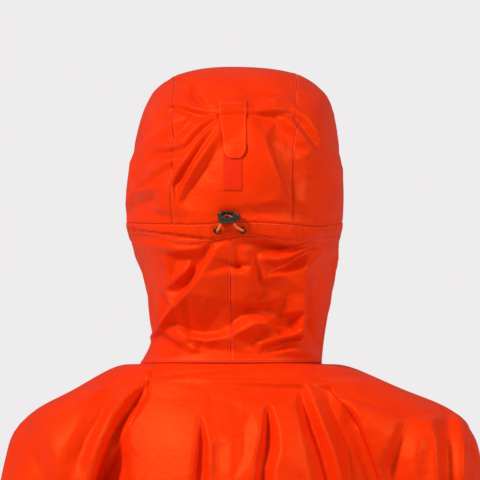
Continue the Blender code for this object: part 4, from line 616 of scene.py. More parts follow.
hood_knots = run_length(hood_sections(np.array([0.0]), 1)[:, 0])
body_knots = run_length(body_half(np.array([1.0]), 1, 1)[:, 0])
outside_run = run_length(sleeve_sections(np.array([0.5]), 1)[UNDERARM_ROW:, 0])
sleeve_knots = np.concatenate([body_knots[:UNDERARM_ROW + 1], body_knots[UNDERARM_ROW] + outside_run[1:]])
body_rows = fine_rows(body_knots, BODY_MARKS)
sleeve_rows = fine_rows(sleeve_knots, SLEEVE_MARKS)
neck_rows = fine_rows(hood_knots, NECK_MARKS)
casing_rows = fine_rows(hood_knots, CASING_MARKS)
crown_rows = fine_rows(hood_knots, CROWN_MARKS)
UNDERARM_INDEX = row_of(body_rows, UNDERARM_ROW)
ZIP_FOOT_INDEX = row_of(body_rows, ZIP_END_ROW)


def front_half(side):
    """Half of the front's grid, with its second column set on the edge of the zip slot."""
    even = SLOT_SHARE + (1 - SLOT_SHARE) * np.linspace(0, 1, FRONT_CELLS + 1)
    columns = np.concatenate([[0.0], even])
    spread = np.clip((columns - SLOT_SHARE) / (1 - SLOT_SHARE), 0, 1)
    sections = body_half(columns, side, -1)
    sections[0] = neck_ring(1 - spread * (1 - FRONT_SEAM_SHARE), side)
    grid = relax(loft(sections, body_rows, body_knots), [UNDERARM_INDEX])
    grid[:, 0, 0] = 0.0
    slot_share = ZIP_HALF_SLOT / np.abs(grid[:, 1, 0] - grid[:, 0, 0])
    grid[:, 1] = grid[:, 0] + slot_share[:, None] * (grid[:, 1] - grid[:, 0])
    return grid


def smooth_grids():
    """Grids of all cloth pieces before any crease. Columns times rows points outwards."""
    across = np.linspace(0, 1, BACK_CELLS + 1)
    around = np.linspace(0, 1, SLEEVE_CELLS + 1)
    centre = np.linspace(0, CENTRE_SHARE, CENTRE_CELLS + 1)
    sides = np.linspace(CENTRE_SHARE, 1, SIDE_CELLS + 1)
    neck = np.linspace(0, 1, NECK_CELLS + 1)
    band = np.linspace(0, 1, BAND_CELLS + 1)

    def crown(shares, side):
        # eased together with the rows below the casing, so that the crown meets it smoothly
        return relax(loft(hood_sections(shares, side), crown_rows, hood_knots), [])

    grids = {}
    grids["back_panel"] = both_sides(lambda side: relax(
        loft(body_half(across, side, 1), body_rows, body_knots), [UNDERARM_INDEX]))[:, ::-1]
    grids["front_panel"] = both_sides(front_half)
    for side, name in SIDE_NAMES:
        sleeve = relax(loft(sleeve_sections(around, side), sleeve_rows, sleeve_knots), [UNDERARM_INDEX])
        lower = relax(loft(hood_sections(neck, side), neck_rows, hood_knots), [])
        lower[neck_rows <= CHIN_ROW, -1, 0] = side * ZIP_HALF_SLOT
        upper = crown(sides, side)
        grids["sleeve_" + name] = sleeve if side > 0 else sleeve[:, ::-1]
        grids["hood_neck_" + name] = lower[:, ::-1] if side > 0 else lower
        grids["hood_side_" + name] = upper[:, ::-1] if side > 0 else upper
    grids["hood_centre"] = both_sides(lambda side: crown(centre, side))
    grids["hood_casing"] = both_sides(
        lambda side: loft(hood_sections(band, side), casing_rows, hood_knots))
    return grids


def grid_normals(points):
    """Sum of the cells' normals at each point of a grid."""
    across = np.cross(points[1:, 1:] - points[:-1, :-1], points[1:, :-1] - points[:-1, 1:])
    normals = np.zeros_like(points)
    for rows in (slice(None, -1), slice(1, None)):
        for columns in (slice(None, -1), slice(1, None)):
            normals[rows, columns] += across
    return normals


SAME_POINT = 0.02 * MM        # points of two pieces nearer than this share their normal


def shared_normals(sheets):
    """Unit normals of all grids, summed where points of neighbouring pieces coincide."""
    names = list(sheets)
    points = np.concatenate([sheets[name].reshape(-1, 3) for name in names])
    sums = np.concatenate([grid_normals(sheets[name]).reshape(-1, 3) for name in names])
    keys = np.round(points / SAME_POINT).astype(np.int64)
    groups = np.unique(keys, axis=0, return_inverse=True)[1].ravel()
    totals = np.stack([np.bincount(groups, weights=sums[:, axis]) for axis in range(3)], axis=1)
    normals = unit(totals)[groups]
    ends = np.cumsum([sheets[name].shape[0] * sheets[name].shape[1] for name in names])
    return {name: part.reshape(sheets[name].shape)
            for name, part in zip(names, np.split(normals, ends[:-1]))}


# ---------------------------------------------------------------- creases
def seen_from(side, points, normals):
    """Position across and up as one sees it from a side, in mm, and how much the cloth faces it."""
    across, facing = {
        "back": (-points[:, 0], normals[:, 1]),
        "front": (points[:, 0], -normals[:, 1]),
        "left": (points[:, 1], normals[:, 0] * (points[:, 0] > 0)),
        "right": (-points[:, 1], -normals[:, 0] * (points[:, 0] < 0)),
    }[side]
    return across / MM, points[:, 2] / MM, soft_step((facing - FACING[0]) / FACING[1])


def small_creases():
    """The random small creases as rows of the crease table for each side, the same on each run."""
    rng = np.random.default_rng(SMALL_SEED)
    rows = {side: [] for side in CREASES}
    for row in SMALL_CREASES:
        area = dict(zip(SMALL_COLUMNS, row))
        for _ in range(area["count"]):
            across = rng.uniform(area["low_across"], area["high_across"])
            z = rng.uniform(area["low_z"], area["high_z"])
            turn = math.radians(area["turn"] + rng.normal() * area["spread"])
            length = area["length"] * rng.uniform(*SMALL_SCALE)
            wide = length * rng.uniform(*SMALL_WIDE)
            height = area["height"] * rng.uniform(*SMALL_SCALE) * rng.choice((-1, 1))
            rows[area["side"]].append((
                across, z, across + length * math.cos(turn), z - length * math.sin(turn),
                length * rng.uniform(-SMALL_BOW, SMALL_BOW), wide, wide * rng.uniform(*SMALL_SPLAY),
                rng.uniform(-SMALL_STEEP, SMALL_STEEP), height))
    return rows


def along_and_aside(fold, across, z):
    """Share of the way along a bowed line, and mm to the right of it: the line is the chord from a to b
    plus a parabola of height bow."""
    run = np.array([fold["across_b"] - fold["across_a"], fold["z_b"] - fold["z_a"]])
    length = np.linalg.norm(run)
    step_across, step_z = across - fold["across_a"], z - fold["z_a"]
    along = (step_across * run[0] + step_z * run[1]) / length ** 2
    aside = (step_across * run[1] - step_z * run[0]) / length
    return along, aside - fold["bow"] * 4 * np.clip(along, 0, 1) * (1 - np.clip(along, 0, 1))


def near_line(fold, across, z, room):
    """Points inside the box round a fold's line, widened by room."""
    low_across, high_across = sorted((fold["across_a"], fold["across_b"]))
    low_z, high_z = sorted((fold["z_a"], fold["z_b"]))
    return np.flatnonzero((across > low_across - room) & (across < high_across + room)
                          & (z > low_z - room) & (z < high_z + room))


def crease_height(points, normals, creases):
    """Height in mm of all creases: across its line each is a tent, (1 - d)^FLANK_POWER with d the
    distance over the flank's width and its crest rounded, that rises and widens from its start and
    dies away to its end. creases holds each side's rows of the crease table."""
    height = np.zeros(len(points))
    for side, rows in creases.items():
        across, z, facing = seen_from(side, points, normals)
        seen = np.flatnonzero(facing > 0)
        if not len(seen):
            continue
        across, z, facing = across[seen], z[seen], facing[seen]
        for row in rows:
            fold = dict(zip(CREASE_COLUMNS, row))
            room = CREASE_ROOM * max(fold["wide_a"], fold["wide_b"]) + abs(fold["bow"]) + CREASE_ROOM_MORE
            near = near_line(fold, across, z, room)
            if not len(near):
                continue
            along, aside = along_and_aside(fold, across[near], z[near])
            wide = fold["wide_a"] + (fold["wide_b"] - fold["wide_a"]) * np.clip(along, 0, 1)
            rise = soft_step((along + CREASE_LEAD) / CREASE_START)
            strength = rise * soft_step((1 + CREASE_LEAD - along) / CREASE_END)
            wide = wide * (CREASE_POINT + (1 - CREASE_POINT) * np.sqrt(strength))
            moved = CREASE_SHIFT * fold["steep"]
            ratio = np.abs(aside) / (wide * np.where(aside > 0, 1 - moved, 1 + moved))
            tent = (np.sqrt(ratio ** 2 + CREST ** 2) - CREST) / (math.sqrt(1 + CREST ** 2) - CREST)
            profile = np.clip(1 - tent, 0, 1) ** FLANK_POWER
            height[seen[near]] += fold["height"] * profile * strength * facing[near]
    return height


def facet_mesh():
    """Triangles over the facet lines and the areas' outlines, none crossing a line: corners and heights."""
    places, heights, edges = [], [], []
    lines = [[(*corner, 0) for corner in (*area, area[0])] for area in FACET_AREAS]
    for line in [*FACET_LINES, *lines]:
        edges += [(len(places) + i, len(places) + i + 1) for i in range(len(line) - 1)]
        places += [Vector(point[:2]) for point in line]
        heights += [point[2] for point in line]
    corners, _, faces, origins, _, _ = delaunay_2d_cdt(places, edges, [], 0, FACET_MERGE)
    known = [np.mean([heights[i] for i in origin]) if origin else 0.0 for origin in origins]
    return np.array([tuple(corner) for corner in corners]), FACET_STEEP * np.array(known), np.array(faces)


def facet_height(points, normals):
    """Height in mm of the facets: on each triangle the mix of its corners' heights by the part areas."""
    corners, known, faces = facet_mesh()
    across, z, _ = seen_from("back", points, normals)
    facing = soft_step((normals[:, 1] - FACET_FACING[0]) / FACET_FACING[1])
    height = np.zeros(len(points))
    seen = np.flatnonzero(facing > 0)
    across, z = across[seen], z[seen]
    for face in faces:
        a, b, c = corners[face]
        near = np.flatnonzero((across >= min(a[0], b[0], c[0])) & (across <= max(a[0], b[0], c[0]))
                              & (z >= min(a[1], b[1], c[1])) & (z <= max(a[1], b[1], c[1])))
        if not len(near):
            continue
        whole = (b[0] - a[0]) * (c[1] - a[1]) - (c[0] - a[0]) * (b[1] - a[1])
        u, v = across[near] - a[0], z[near] - a[1]
        to_b = (u * (c[1] - a[1]) - v * (c[0] - a[0])) / whole
        to_c = (v * (b[0] - a[0]) - u * (b[1] - a[1])) / whole
        inside = (to_b >= 0) & (to_c >= 0) & (to_b + to_c <= 1)
        mixed = known[face[0]] * (1 - to_b - to_c) + known[face[1]] * to_b + known[face[2]] * to_c
        height[seen[near[inside]]] = mixed[inside]
    return height * facing


def rounded(height):
    """Grid of heights averaged with its neighbours on both ways, its edges kept."""
    for _ in range(FACET_ROUND):
        height = height.copy()
        height[1:-1] = (height[:-2] + 2 * height[1:-1] + height[2:]) / 4
        height[:, 1:-1] = (height[:, :-2] + 2 * height[:, 1:-1] + height[:, 2:]) / 4
    return height


def edge_distances(points):
    """Distance in mm of each grid point from the grid's first and last column and first and last row."""
    over = np.linalg.norm(np.diff(points, axis=1), axis=2) / MM
    down = np.linalg.norm(np.diff(points, axis=0), axis=2) / MM
    first_column = np.concatenate([np.zeros((len(points), 1)), np.cumsum(over, axis=1)], axis=1)
    first_row = np.concatenate([np.zeros((1, points.shape[1])), np.cumsum(down, axis=0)], axis=0)
    return {"first_column": first_column, "last_column": first_column[:, -1:] - first_column,
            "first_row": first_row, "last_row": first_row[-1:] - first_row}


BOTH_COLUMNS = ("first_column", "last_column")
SEAM_SIDES = {                # sides that are sewn and show it
    "back_panel": BOTH_COLUMNS, "front_panel": BOTH_COLUMNS,
    "sleeve_left": BOTH_COLUMNS, "sleeve_right": BOTH_COLUMNS,
    "hood_neck_left": ("last_column", "last_row", "first_row"),
    "hood_neck_right": ("first_column", "last_row", "first_row"),
    "hood_side_left": ("last_column", "first_row"), "hood_side_right": ("first_column", "first_row"),
    "hood_centre": (*BOTH_COLUMNS, "first_row"), "hood_casing": ("first_row", "last_row"),
}
# The last row of these is sewn on; that of the others is a hem, a cuff or the brim. No crease runs over a
# sewn first or last row.
SEWN_LAST_ROW = ("hood_neck_left", "hood_neck_right", "hood_casing")
CALM_START = 0.8              # creases start this far from a calm edge, mm,
CALM_REACH = 6.0              # and grow to their height over this
FLAT_SEAMS = 0.3              # the long raglan and side seams are pressed flatter than the hood's
SEAM_DEPTH = 0.30             # a sewn edge is drawn down this much, mm
SEAM_WIDE = 0.8               # over this half width
LAP_HEIGHT = 0.20             # the allowance under the cloth lifts a band beside the seam
LAP_WIDE = 6.0                # this wide,
LAP_START = 1.6               # grown to its height over this
LAP_END = 1.0                 # and gone over this
CASING_SWELL = 0.5            # mm between the casing's stitch lines
SWELL_POWER = 0.6             # under 1, so that the swell is steep beside the stitches and flat between
GATHERS = ((37.0, 0.45), (61.0, 0.35), (96.0, 0.22))    # waves round half the casing, and heights, mm
GATHER_SHIFT = (5.0, 3.1)     # each wave's phase swings by the first, at the second times its count
GATHER_REACH = 6.0            # gathers die away over this, mm
CASING_GATHERS = 0.8          # their share on the casing itself
CASING_PHASE = 0.013          # which moves them along from those of the neck part
CROWN_GATHERS = 3.3           # girth shares for each metre across, on the crown
SEAM_CLEAR = 1.5              # gathers and shade start over this distance from a seam, mm
CASING_SHADE = 1.6            # how far the neck part sinks just under the casing, mm
CASING_SHADE_REACH = 4.5      # dying away over this, mm

# The casing's lower and upper sewn lines wander up and down, seen from behind: across and shift, mm.
CASING_LOW_WANDER = (
    (-125, 6), (-100, 7), (-84, 6), (-54, -2), (-25, -1), (0, 3), (18, 5), (34, 2), (64, -3), (96, 4),
    (112, 8), (130, 6))
CASING_HIGH_WANDER = (
    (-125, -2), (-96, -4), (-56, -5), (-25, -5), (0, -3), (16, -3), (60, -5), (95, -7), (115, -4),
    (130, -2))
WANDERS = ((CASING_LOW_WANDER, CASING_ROW), (CASING_HIGH_WANDER, CROWN_ROW))
WANDER_REACH = 11.0           # the cloth above and below goes along, dying away over this, mm
WANDER_FRONT_Y = -0.03        # the wander starts here
WANDER_GROWS = 0.05           # and grows to its height over this, m


def wandered(points):
    """Points near the casing's sewn lines moved up or down by the lines' wander at their place across."""
    across, z = -points[..., 0] / MM, points[..., 2] / MM
    behind = soft_step((points[..., 1] - WANDER_FRONT_Y) / WANDER_GROWS)
    shift = 0.0
    for wander, row in WANDERS:
        places, shifts = np.array(wander, dtype=float).T
        line = smooth(places, shifts, np.clip(across, places[0], places[-1]).ravel()).reshape(across.shape)
        far = (z - HOOD_LEVELS[row][0]) / WANDER_REACH
        shift = shift + line * np.exp(-far ** 2) * behind
    moved = points.copy()
    moved[..., 2] += MM * shift
    return moved


def seam_height(name, distances):
    """Height in mm beside sewn edges: a narrow groove on the edge and a low band for the allowance."""
    height = 0.0
    for side in SEAM_SIDES[name]:
        far = distances[side]
        height = height - SEAM_DEPTH * np.exp(-(far / SEAM_WIDE) ** 2)
        band = soft_step(far / LAP_START) * (1 - soft_step((far - LAP_WIDE + LAP_END) / LAP_END))
        height = height + LAP_HEIGHT * band
    return height if name.startswith("hood") else FLAT_SEAMS * height


def gather_height(share, near_edge):
    """Irregular waves along the casing in mm, dying away within near_edge (mm) of it."""
    swing, pace = GATHER_SHIFT
    waves = sum(height * np.sin(2 * math.pi * count * share + swing * np.sin(pace * count * share))
                for count, height in GATHERS)
    return waves * np.exp(-near_edge / GATHER_REACH)


def creased_grids():
    """All grids with creases, facets, seams, gathers and the casing's swell, and their unit normals."""
    base = smooth_grids()
    for name in base:
        if name.startswith("hood"):
            base[name] = wandered(base[name])
    normals = shared_normals(base)
    small = small_creases()
    creases = {side: [*rows, *small[side]] for side, rows in CREASES.items()}
    result = {}
    for name, points in base.items():
        flat = points.reshape(-1, 3)
        turned = normals[name].reshape(-1, 3)
        shape = points.shape[:2]
        distances = edge_distances(points)
        calm = 1.0
        for side in ("first_row", "last_row") if name in SEWN_LAST_ROW else ("first_row",):
            calm = calm * soft_step((distances[side] - CALM_START) / CALM_REACH)
        facets = rounded(facet_height(flat, turned).reshape(shape))
        height = crease_height(flat, turned, creases).reshape(shape) * calm + seam_height(name, distances)
        if name == "hood_casing":
            share = np.abs(np.linspace(-1, 1, shape[1]))[None] + CASING_PHASE
            swell = np.sin(math.pi * np.linspace(0, 1, shape[0]))[:, None] ** SWELL_POWER
            height = height + swell * (CASING_SWELL + CASING_GATHERS * gather_height(share, 0.0))
        if name.startswith("hood_neck"):
            share = np.linspace(0, 1, shape[1])[None]
            share = share[:, ::-1] if name.endswith("left") else share
            far = distances["last_row"]
            edge = soft_step(far / SEAM_CLEAR)
            height = height - CASING_SHADE * edge * np.exp(-far / CASING_SHADE_REACH)
            height = height + edge * gather_height(share, far)
        if name.startswith("hood_side") or name == "hood_centre":
            share = np.abs(points[..., 0]) * CROWN_GATHERS
            far = distances["first_row"]
            height = height + soft_step(far / SEAM_CLEAR) * gather_height(share, far)
        result[name] = points + MM * height[..., None] * normals[name]
        result[name] += MM * (facets * calm)[..., None] * unit(normals[name] + STRAIGHT_BACK)
    return base, result, shared_normals(result)


# ---------------------------------------------------------------- meshes
def add_mesh(name, points, faces, uv=None, indices=None, materials=(), smooth_faces=True):
    """Object with a mesh from arrays: points (n, 3), faces (m, 4) or (m, 3), uv for each corner."""
    mesh = bpy.data.meshes.new(name)
    faces = np.asarray(faces, dtype=np.int32)
    count, corners = faces.shape
    mesh.vertices.add(len(points))
    mesh.vertices.foreach_set("co", np.asarray(points, dtype=np.float32).ravel())
    mesh.loops.add(count * corners)
    mesh.loops.foreach_set("vertex_index", faces.ravel())
    mesh.polygons.add(count)
    mesh.polygons.foreach_set("loop_start", np.arange(0, count * corners, corners, dtype=np.int32))
    mesh.polygons.foreach_set("use_smooth", np.full(count, smooth_faces))
    for material in materials:
        mesh.materials.append(material)
    if indices is not None:
        mesh.polygons.foreach_set("material_index", np.asarray(indices, dtype=np.int32))
    if uv is not None:
        layer = mesh.uv_layers.new(name="cloth")
        layer.data.foreach_set("uv", np.asarray(uv, dtype=np.float32)[faces.ravel()].ravel())
    mesh.update(calc_edges=True)
    mesh.validate()
    piece = bpy.data.objects.new(name, mesh)
    bpy.context.scene.collection.objects.link(piece)
    return piece


def cloth_map(points):
    """Flat place in mm of each grid point: run lengths across from the middle column and down from the
    first row, so that threads keep their spacing as the cloth bends."""
    distances = edge_distances(points)
    across = distances["first_column"]
    middle = across[:, across.shape[1] // 2][:, None]
    return np.stack([across - middle, distances["first_row"]], axis=-1)


def wall(name, outer, inner, uv, materials, keep=None):
    """Closed thin wall: the outer grid, the inner grid turned round, and a rim along every free edge."""
    rows, columns = outer.shape[:2]
    keep = np.ones((rows - 1, columns - 1), dtype=bool) if keep is None else keep
    total = rows * columns
    number = np.arange(total).reshape(rows, columns)
    a, b = number[:-1, :-1][keep], number[:-1, 1:][keep]
    c, d = number[1:, 1:][keep], number[1:, :-1][keep]
    front = np.stack([a, b, c, d], axis=1)
    back = front[:, ::-1] + total
    edges = np.concatenate([np.stack(pair, axis=1) for pair in ((a, b), (b, c), (c, d), (d, a))])
    key = edges[:, 0].astype(np.int64) * total + edges[:, 1]
    other = edges[:, 1].astype(np.int64) * total + edges[:, 0]
    free = edges[~np.isin(other, key)]
    rim = np.stack([free[:, 1], free[:, 0], free[:, 0] + total, free[:, 1] + total], axis=1)
    faces = np.concatenate([front, back, rim])
    index = np.concatenate([np.zeros(len(front)), np.ones(len(back)), np.zeros(len(rim))])
    points = np.concatenate([outer.reshape(-1, 3), inner.reshape(-1, 3)])
    corners = np.concatenate([uv.reshape(-1, 2), uv.reshape(-1, 2)])
    used, packed = np.unique(faces, return_inverse=True)
    return add_mesh(name, points[used], packed.reshape(faces.shape), corners[used], index, materials)


# ---------------------------------------------------------------- materials
def linear(hex_colour):
    """Linear colour from sRGB hex: the standard curve's inverse for each of the three channels."""
    values = np.array([int(hex_colour[i:i + 2], 16) / 255 for i in (1, 3, 5)])
    curve = np.where(values <= 0.04045, values / 12.92, ((values + 0.055) / 1.055) ** 2.4)
    return (*curve.tolist(), 1.0)


def node(tree, kind, inputs=(), out=0, stops=(), **settings):
    """Add a shader node with its settings, its inputs as pairs of socket and value or linked output, and
    a colour ramp's stops as pairs of position and hex colour. Gives its output socket named out."""
    made = tree.nodes.new("ShaderNode" + kind)
    for name, value in settings.items():
        setattr(made, name, value)
    for socket, value in inputs:
        if isinstance(value, bpy.types.NodeSocket):
            tree.links.new(value, made.inputs[socket])
        else:
            made.inputs[socket].default_value = value
    for number, (position, colour) in enumerate(stops):
        made.color_ramp.elements[number].position = position
        made.color_ramp.elements[number].color = linear(colour)
    return made.outputs[out]


def new_material(name, **sockets):
    """Material with one Principled shader, its sockets set directly, and its node tree."""
    material = bpy.data.materials.new(name)
    material.use_nodes = True
    set_sockets(material.node_tree, **sockets)
    return material, material.node_tree


def set_sockets(tree, **sockets):
    """Set the Principled shader's sockets, with _ for a space, to values or node outputs."""
    shader = tree.nodes["Principled BSDF"]
    for name, value in sockets.items():
        socket = shader.inputs[name.replace("_", " ")]
        if isinstance(value, bpy.types.NodeSocket):
            tree.links.new(value, socket)
        else:
            socket.default_value = value


def shade_and_relief(tree, pattern, low, high, depth_mm=0.0, ends=(0.35, 0.65)):
    """Base colour from low to high as the pattern goes from one end to the other, and a bump of a depth."""
    colour = node(tree, "ValToRGB", [(0, pattern)], stops=zip(ends, (low, high)))
    set_sockets(tree, Base_Color=colour)
    if depth_mm:
        set_sockets(tree, Normal=node(tree, "Bump", [("Height", pattern), ("Distance", depth_mm * MM)]))


def stretched_noise(tree, place, across_mm, along_mm, detail=2.0, rough=0.5):
    """Noise whose grain is across_mm wide and along_mm long on the cloth."""
    spread = node(tree, "VectorMath", [(0, place), (1, (1 / across_mm, 1 / along_mm, 1.0))],
                  operation="MULTIPLY")
    return node(tree, "TexNoise", [("Vector", spread), ("Scale", 1.0), ("Detail", detail),
                                   ("Roughness", rough)], "Fac")


WEAVE_PITCH = 0.9     # mm; the real taffeta has 0.2 mm threads, too fine to show, so drawn this coarse
SLUB_LONG = 14.0      # mm; thicker stretches of the crosswise threads
SLUB_WIDE = 0.9
CLOUD = (38.0, 30.0)  # mm; uneven dye, width and length
FLATS = (9.0, 7.0)    # mm; flats between the coating's fine creases


def plain_weave(tree, place, pitch):
    """Plain weave: waves of both thread directions multiplied, as one thread passes over the next."""
    waves = []
    for axis in (0, 1):
        along = node(tree, "SeparateXYZ", [(0, place)], axis)
        phase = node(tree, "Math", [(0, along), (1, 2 * math.pi / pitch)], operation="MULTIPLY")
        waves.append(node(tree, "Math", [(0, phase)], operation="SINE"))
    return node(tree, "Math", [(0, waves[0]), (1, waves[1])], operation="MULTIPLY")


def coated_nylon():
    """Nylon taffeta, woven, dyed and coated: a saturated orange-red with a low sheen, faint crosswise
    threads, and a soft crackle of tiny flats where the coating has been creased."""
    material, tree = new_material(
        "coated_nylon_taffeta", Specular_IOR_Level=0.36, Specular_Tint=linear("#FFA850"),
        Sheen_Weight=0.02, Sheen_Roughness=0.4, Sheen_Tint=linear("#FF8A40"))
    place = node(tree, "UVMap", uv_map="cloth")
    slubs = stretched_noise(tree, place, SLUB_LONG, SLUB_WIDE, 3.0, 0.6)
    cloudy = stretched_noise(tree, place, *CLOUD)
    flats = stretched_noise(tree, place, *FLATS, 2.5, 0.55)
    weave = plain_weave(tree, place, WEAVE_PITCH)
    shade = node(tree, "Mix", [(0, 0.45), (2, cloudy), (3, slubs)], data_type="FLOAT")
    normal = node(tree, "Bump", [("Height", weave), ("Distance", 0.02 * MM)])
    normal = node(tree, "Bump", [("Height", slubs), ("Distance", 0.05 * MM), ("Normal", normal)])
    normal = node(tree, "Bump", [("Height", flats), ("Distance", 0.45 * MM), ("Normal", normal)])
    shade_and_relief(tree, shade, "#E02B06", "#EC3507")
    set_sockets(tree, Normal=normal, Roughness=node(tree, "MapRange", [(0, slubs), (3, 0.38), (4, 0.52)]))
    return material


def coated_back():
    """Inside of the same cloth: its waterproof coating, flatter and a shade duller than the face."""
    material, tree = new_material(
        "coated_nylon_inside", Roughness=0.6, Specular_IOR_Level=0.25, Specular_Tint=linear("#FF7A4A"))
    grain = stretched_noise(tree, node(tree, "UVMap", uv_map="cloth"), 3.0, 3.0, 3.0, 0.6)
    shade_and_relief(tree, grain, "#C62A12", "#D23418", 0.06)
    return material


def spun_thread():
    """Polyester sewing thread, twisted: a shade lighter than the cloth, matt with a slight twist."""
    material, tree = new_material("polyester_thread", Roughness=0.62, Sheen_Weight=0.2)
    place = node(tree, "TexCoord", out="Object")
    twist = node(tree, "TexWave", [("Vector", place), ("Scale", 1200.0), ("Distortion", 0.5)], "Fac")
    shade_and_relief(tree, twist, "#DD3616", "#F2532C")
    return material


def looped_pile():
    """Loop side of a touch fastener, knitted nylon loops: matt and fuzzy, dyed to match."""
    material, tree = new_material(
        "touch_fastener_loops", Roughness=0.85, Specular_IOR_Level=0.15, Sheen_Weight=0.12,
        Sheen_Roughness=0.6, Sheen_Tint=linear("#FF6A30"))
    place = node(tree, "TexCoord", out="Object")
    loops = node(tree, "TexVoronoi", [("Vector", place), ("Scale", 1500.0)], "Distance")
    shade_and_relief(tree, loops, "#F0340E", "#DA2408", -0.25, (0.1, 0.7))
    return material


def braided_polyester():
    """Round braided polyester cord: lighter orange strands that cross, soft and dull."""
    material, tree = new_material(
        "braided_polyester", Roughness=0.7, Sheen_Weight=0.35, Sheen_Roughness=0.5,
        Sheen_Tint=linear("#FFC9A6"))
    strands = stretched_noise(tree, node(tree, "UVMap", uv_map="cloth"), 0.5, 1.2)
    shade_and_relief(tree, strands, "#D9571F", "#F58A4E", 0.1)
    return material


def moulded_acetal():
    """Injection-moulded acetal: near-black brown-grey with a polished mould's gloss and faint wear."""
    material, tree = new_material("moulded_acetal", IOR=1.48)
    place = node(tree, "TexCoord", out="Object")
    wear = node(tree, "TexNoise", [("Vector", place), ("Scale", 420.0), ("Detail", 4.0)], "Fac")
    shade_and_relief(tree, wear, "#2A2422", "#3A3330")
    set_sockets(tree, Roughness=node(tree, "MapRange", [(0, wear), (3, 0.18), (4, 0.34)]))
    return material


def bronzed_metal(name, dark, pale):
    """Stamped or cast metal with a dark bronze finish, worn paler on its raised parts."""
    material, tree = new_material(name, Metallic=1.0, Roughness=0.34)
    place = node(tree, "TexCoord", out="Object")
    wear = node(tree, "TexNoise", [("Vector", place), ("Scale", 700.0), ("Detail", 3.0)], "Fac")
    shade_and_relief(tree, wear, dark, pale, 0.03)
    return material


def woven_tape():
    """Woven polyester zip tape: fine herringbone ribs, dull, a shade deeper than the cloth."""
    material, tree = new_material("woven_zip_tape", Roughness=0.8, Sheen_Weight=0.25)
    place = node(tree, "UVMap", uv_map="cloth")
    ribs = node(tree, "TexWave", [("Vector", place), ("Scale", 0.32), ("Distortion", 1.2)], "Fac",
                bands_direction="DIAGONAL")
    shade_and_relief(tree, ribs, "#B92410", "#D23418", 0.08, (0.2, 0.8))
    return material


def nylon_coil():
    """Nylon monofilament coil, dyed: smooth and half glossy."""
    material, tree = new_material("nylon_coil", Roughness=0.36, Specular_IOR_Level=0.5)
    place = node(tree, "TexCoord", out="Object")
    tone = node(tree, "TexNoise", [("Vector", place), ("Scale", 260.0)], "Fac")
    shade_and_relief(tree, tone, "#B8240F", "#CC3015")
    return material


# ---------------------------------------------------------------- rows of stitches and teeth
STITCH_PITCH = 3.0 * MM
STITCH_LONG = 2.5 * MM
STITCH_THICK = 0.24 * MM      # half the thread's width; real thread is half as thick and wouldn't show
STITCH_RISE = 0.3             # its middle is this share of that over the cloth
CAPSULE_ALONG = np.array([-1.0, -0.82, 0.82, 1.0])    # a rod's rings and their sizes
CAPSULE_ROUND = np.array([0.35, 1.0, 1.0, 0.35])
CAPSULE_SIDES = 6


def capsules(middles, along, aside, outward, half_long, radius):
    """Short rounded rods, one for each middle: rings of radius times CAPSULE_ROUND along the rod's
    direction, closed at both ends. Gives points and faces as arrays."""
    turns = np.arange(CAPSULE_SIDES) * 2 * math.pi / CAPSULE_SIDES
    ring_side = np.cos(turns)[None, :] * CAPSULE_ROUND[:, None] * radius
    ring_out = np.sin(turns)[None, :] * CAPSULE_ROUND[:, None] * radius
    ring_long = np.repeat(CAPSULE_ALONG[:, None], CAPSULE_SIDES, axis=1) * half_long
    points = (middles[:, None, None] + along[:, None, None] * ring_long[None, ..., None]
              + aside[:, None, None] * ring_side[None, ..., None]
              + outward[:, None, None] * ring_out[None, ..., None])
    count = len(CAPSULE_ALONG) * CAPSULE_SIDES
    number = np.arange(count).reshape(len(CAPSULE_ALONG), CAPSULE_SIDES)
    following = np.roll(number, -1, axis=1)
    walls = np.stack([number[:-1], following[:-1], following[1:], number[1:]], axis=-1).reshape(-1, 4)
    first, last = number[0], number[-1]
    caps = np.array([(first[3], first[2], first[1], first[0]), (first[5], first[4], first[3], first[0]),
                     (last[0], last[1], last[2], last[3]), (last[0], last[3], last[4], last[5])])
    faces = np.concatenate([walls, caps])
    faces = faces[None] + count * np.arange(len(middles))[:, None, None]
    return points.reshape(-1, 3), faces.reshape(-1, 4)


def turned_grid(points, side):
    """Grid turned so that the named side is its first column."""
    if side == "first_column":
        return points
    if side == "last_column":
        return points[:, ::-1]
    if side == "first_row":
        return np.swapaxes(points, 0, 1)
    return np.swapaxes(points[::-1], 0, 1)


def line_beside(points, normals, side, offset):
    """Line that runs offset (m) inside a grid's named side, with its outward directions: on each row the
    point where the run from the side reaches the offset."""
    grid, outward = turned_grid(points, side), turned_grid(normals, side)
    steps = np.linalg.norm(np.diff(grid, axis=1), axis=2)
    run = np.concatenate([np.zeros((len(grid), 1)), np.cumsum(steps, axis=1)], axis=1)
    cell = np.clip(np.sum(run <= offset, axis=1) - 1, 0, grid.shape[1] - 2)
    row = np.arange(len(grid))
    share = ((offset - run[row, cell]) / np.maximum(steps[row, cell], 1e-9))[:, None]
    place = grid[row, cell] * (1 - share) + grid[row, cell + 1] * share
    return place, unit(outward[row, cell] * (1 - share) + outward[row, cell + 1] * share)


def along_line(points, normals, pitch, start=0.5):
    """Even spots along a line, a pitch apart: their place, direction, sideways and outward directions."""
    run = run_length(points)

    def at(spots, values):
        return np.stack([np.interp(spots, run, values[:, axis]) for axis in range(3)], axis=1)

    spots = (np.arange(int(run[-1] / pitch - 0.01)) + start) * pitch
    outward = unit(at(spots, normals))
    along = unit(at(spots + pitch / 4, points) - at(spots - pitch / 4, points))
    aside = unit(np.cross(outward, along))
    return at(spots, points), along, aside, np.cross(along, aside)


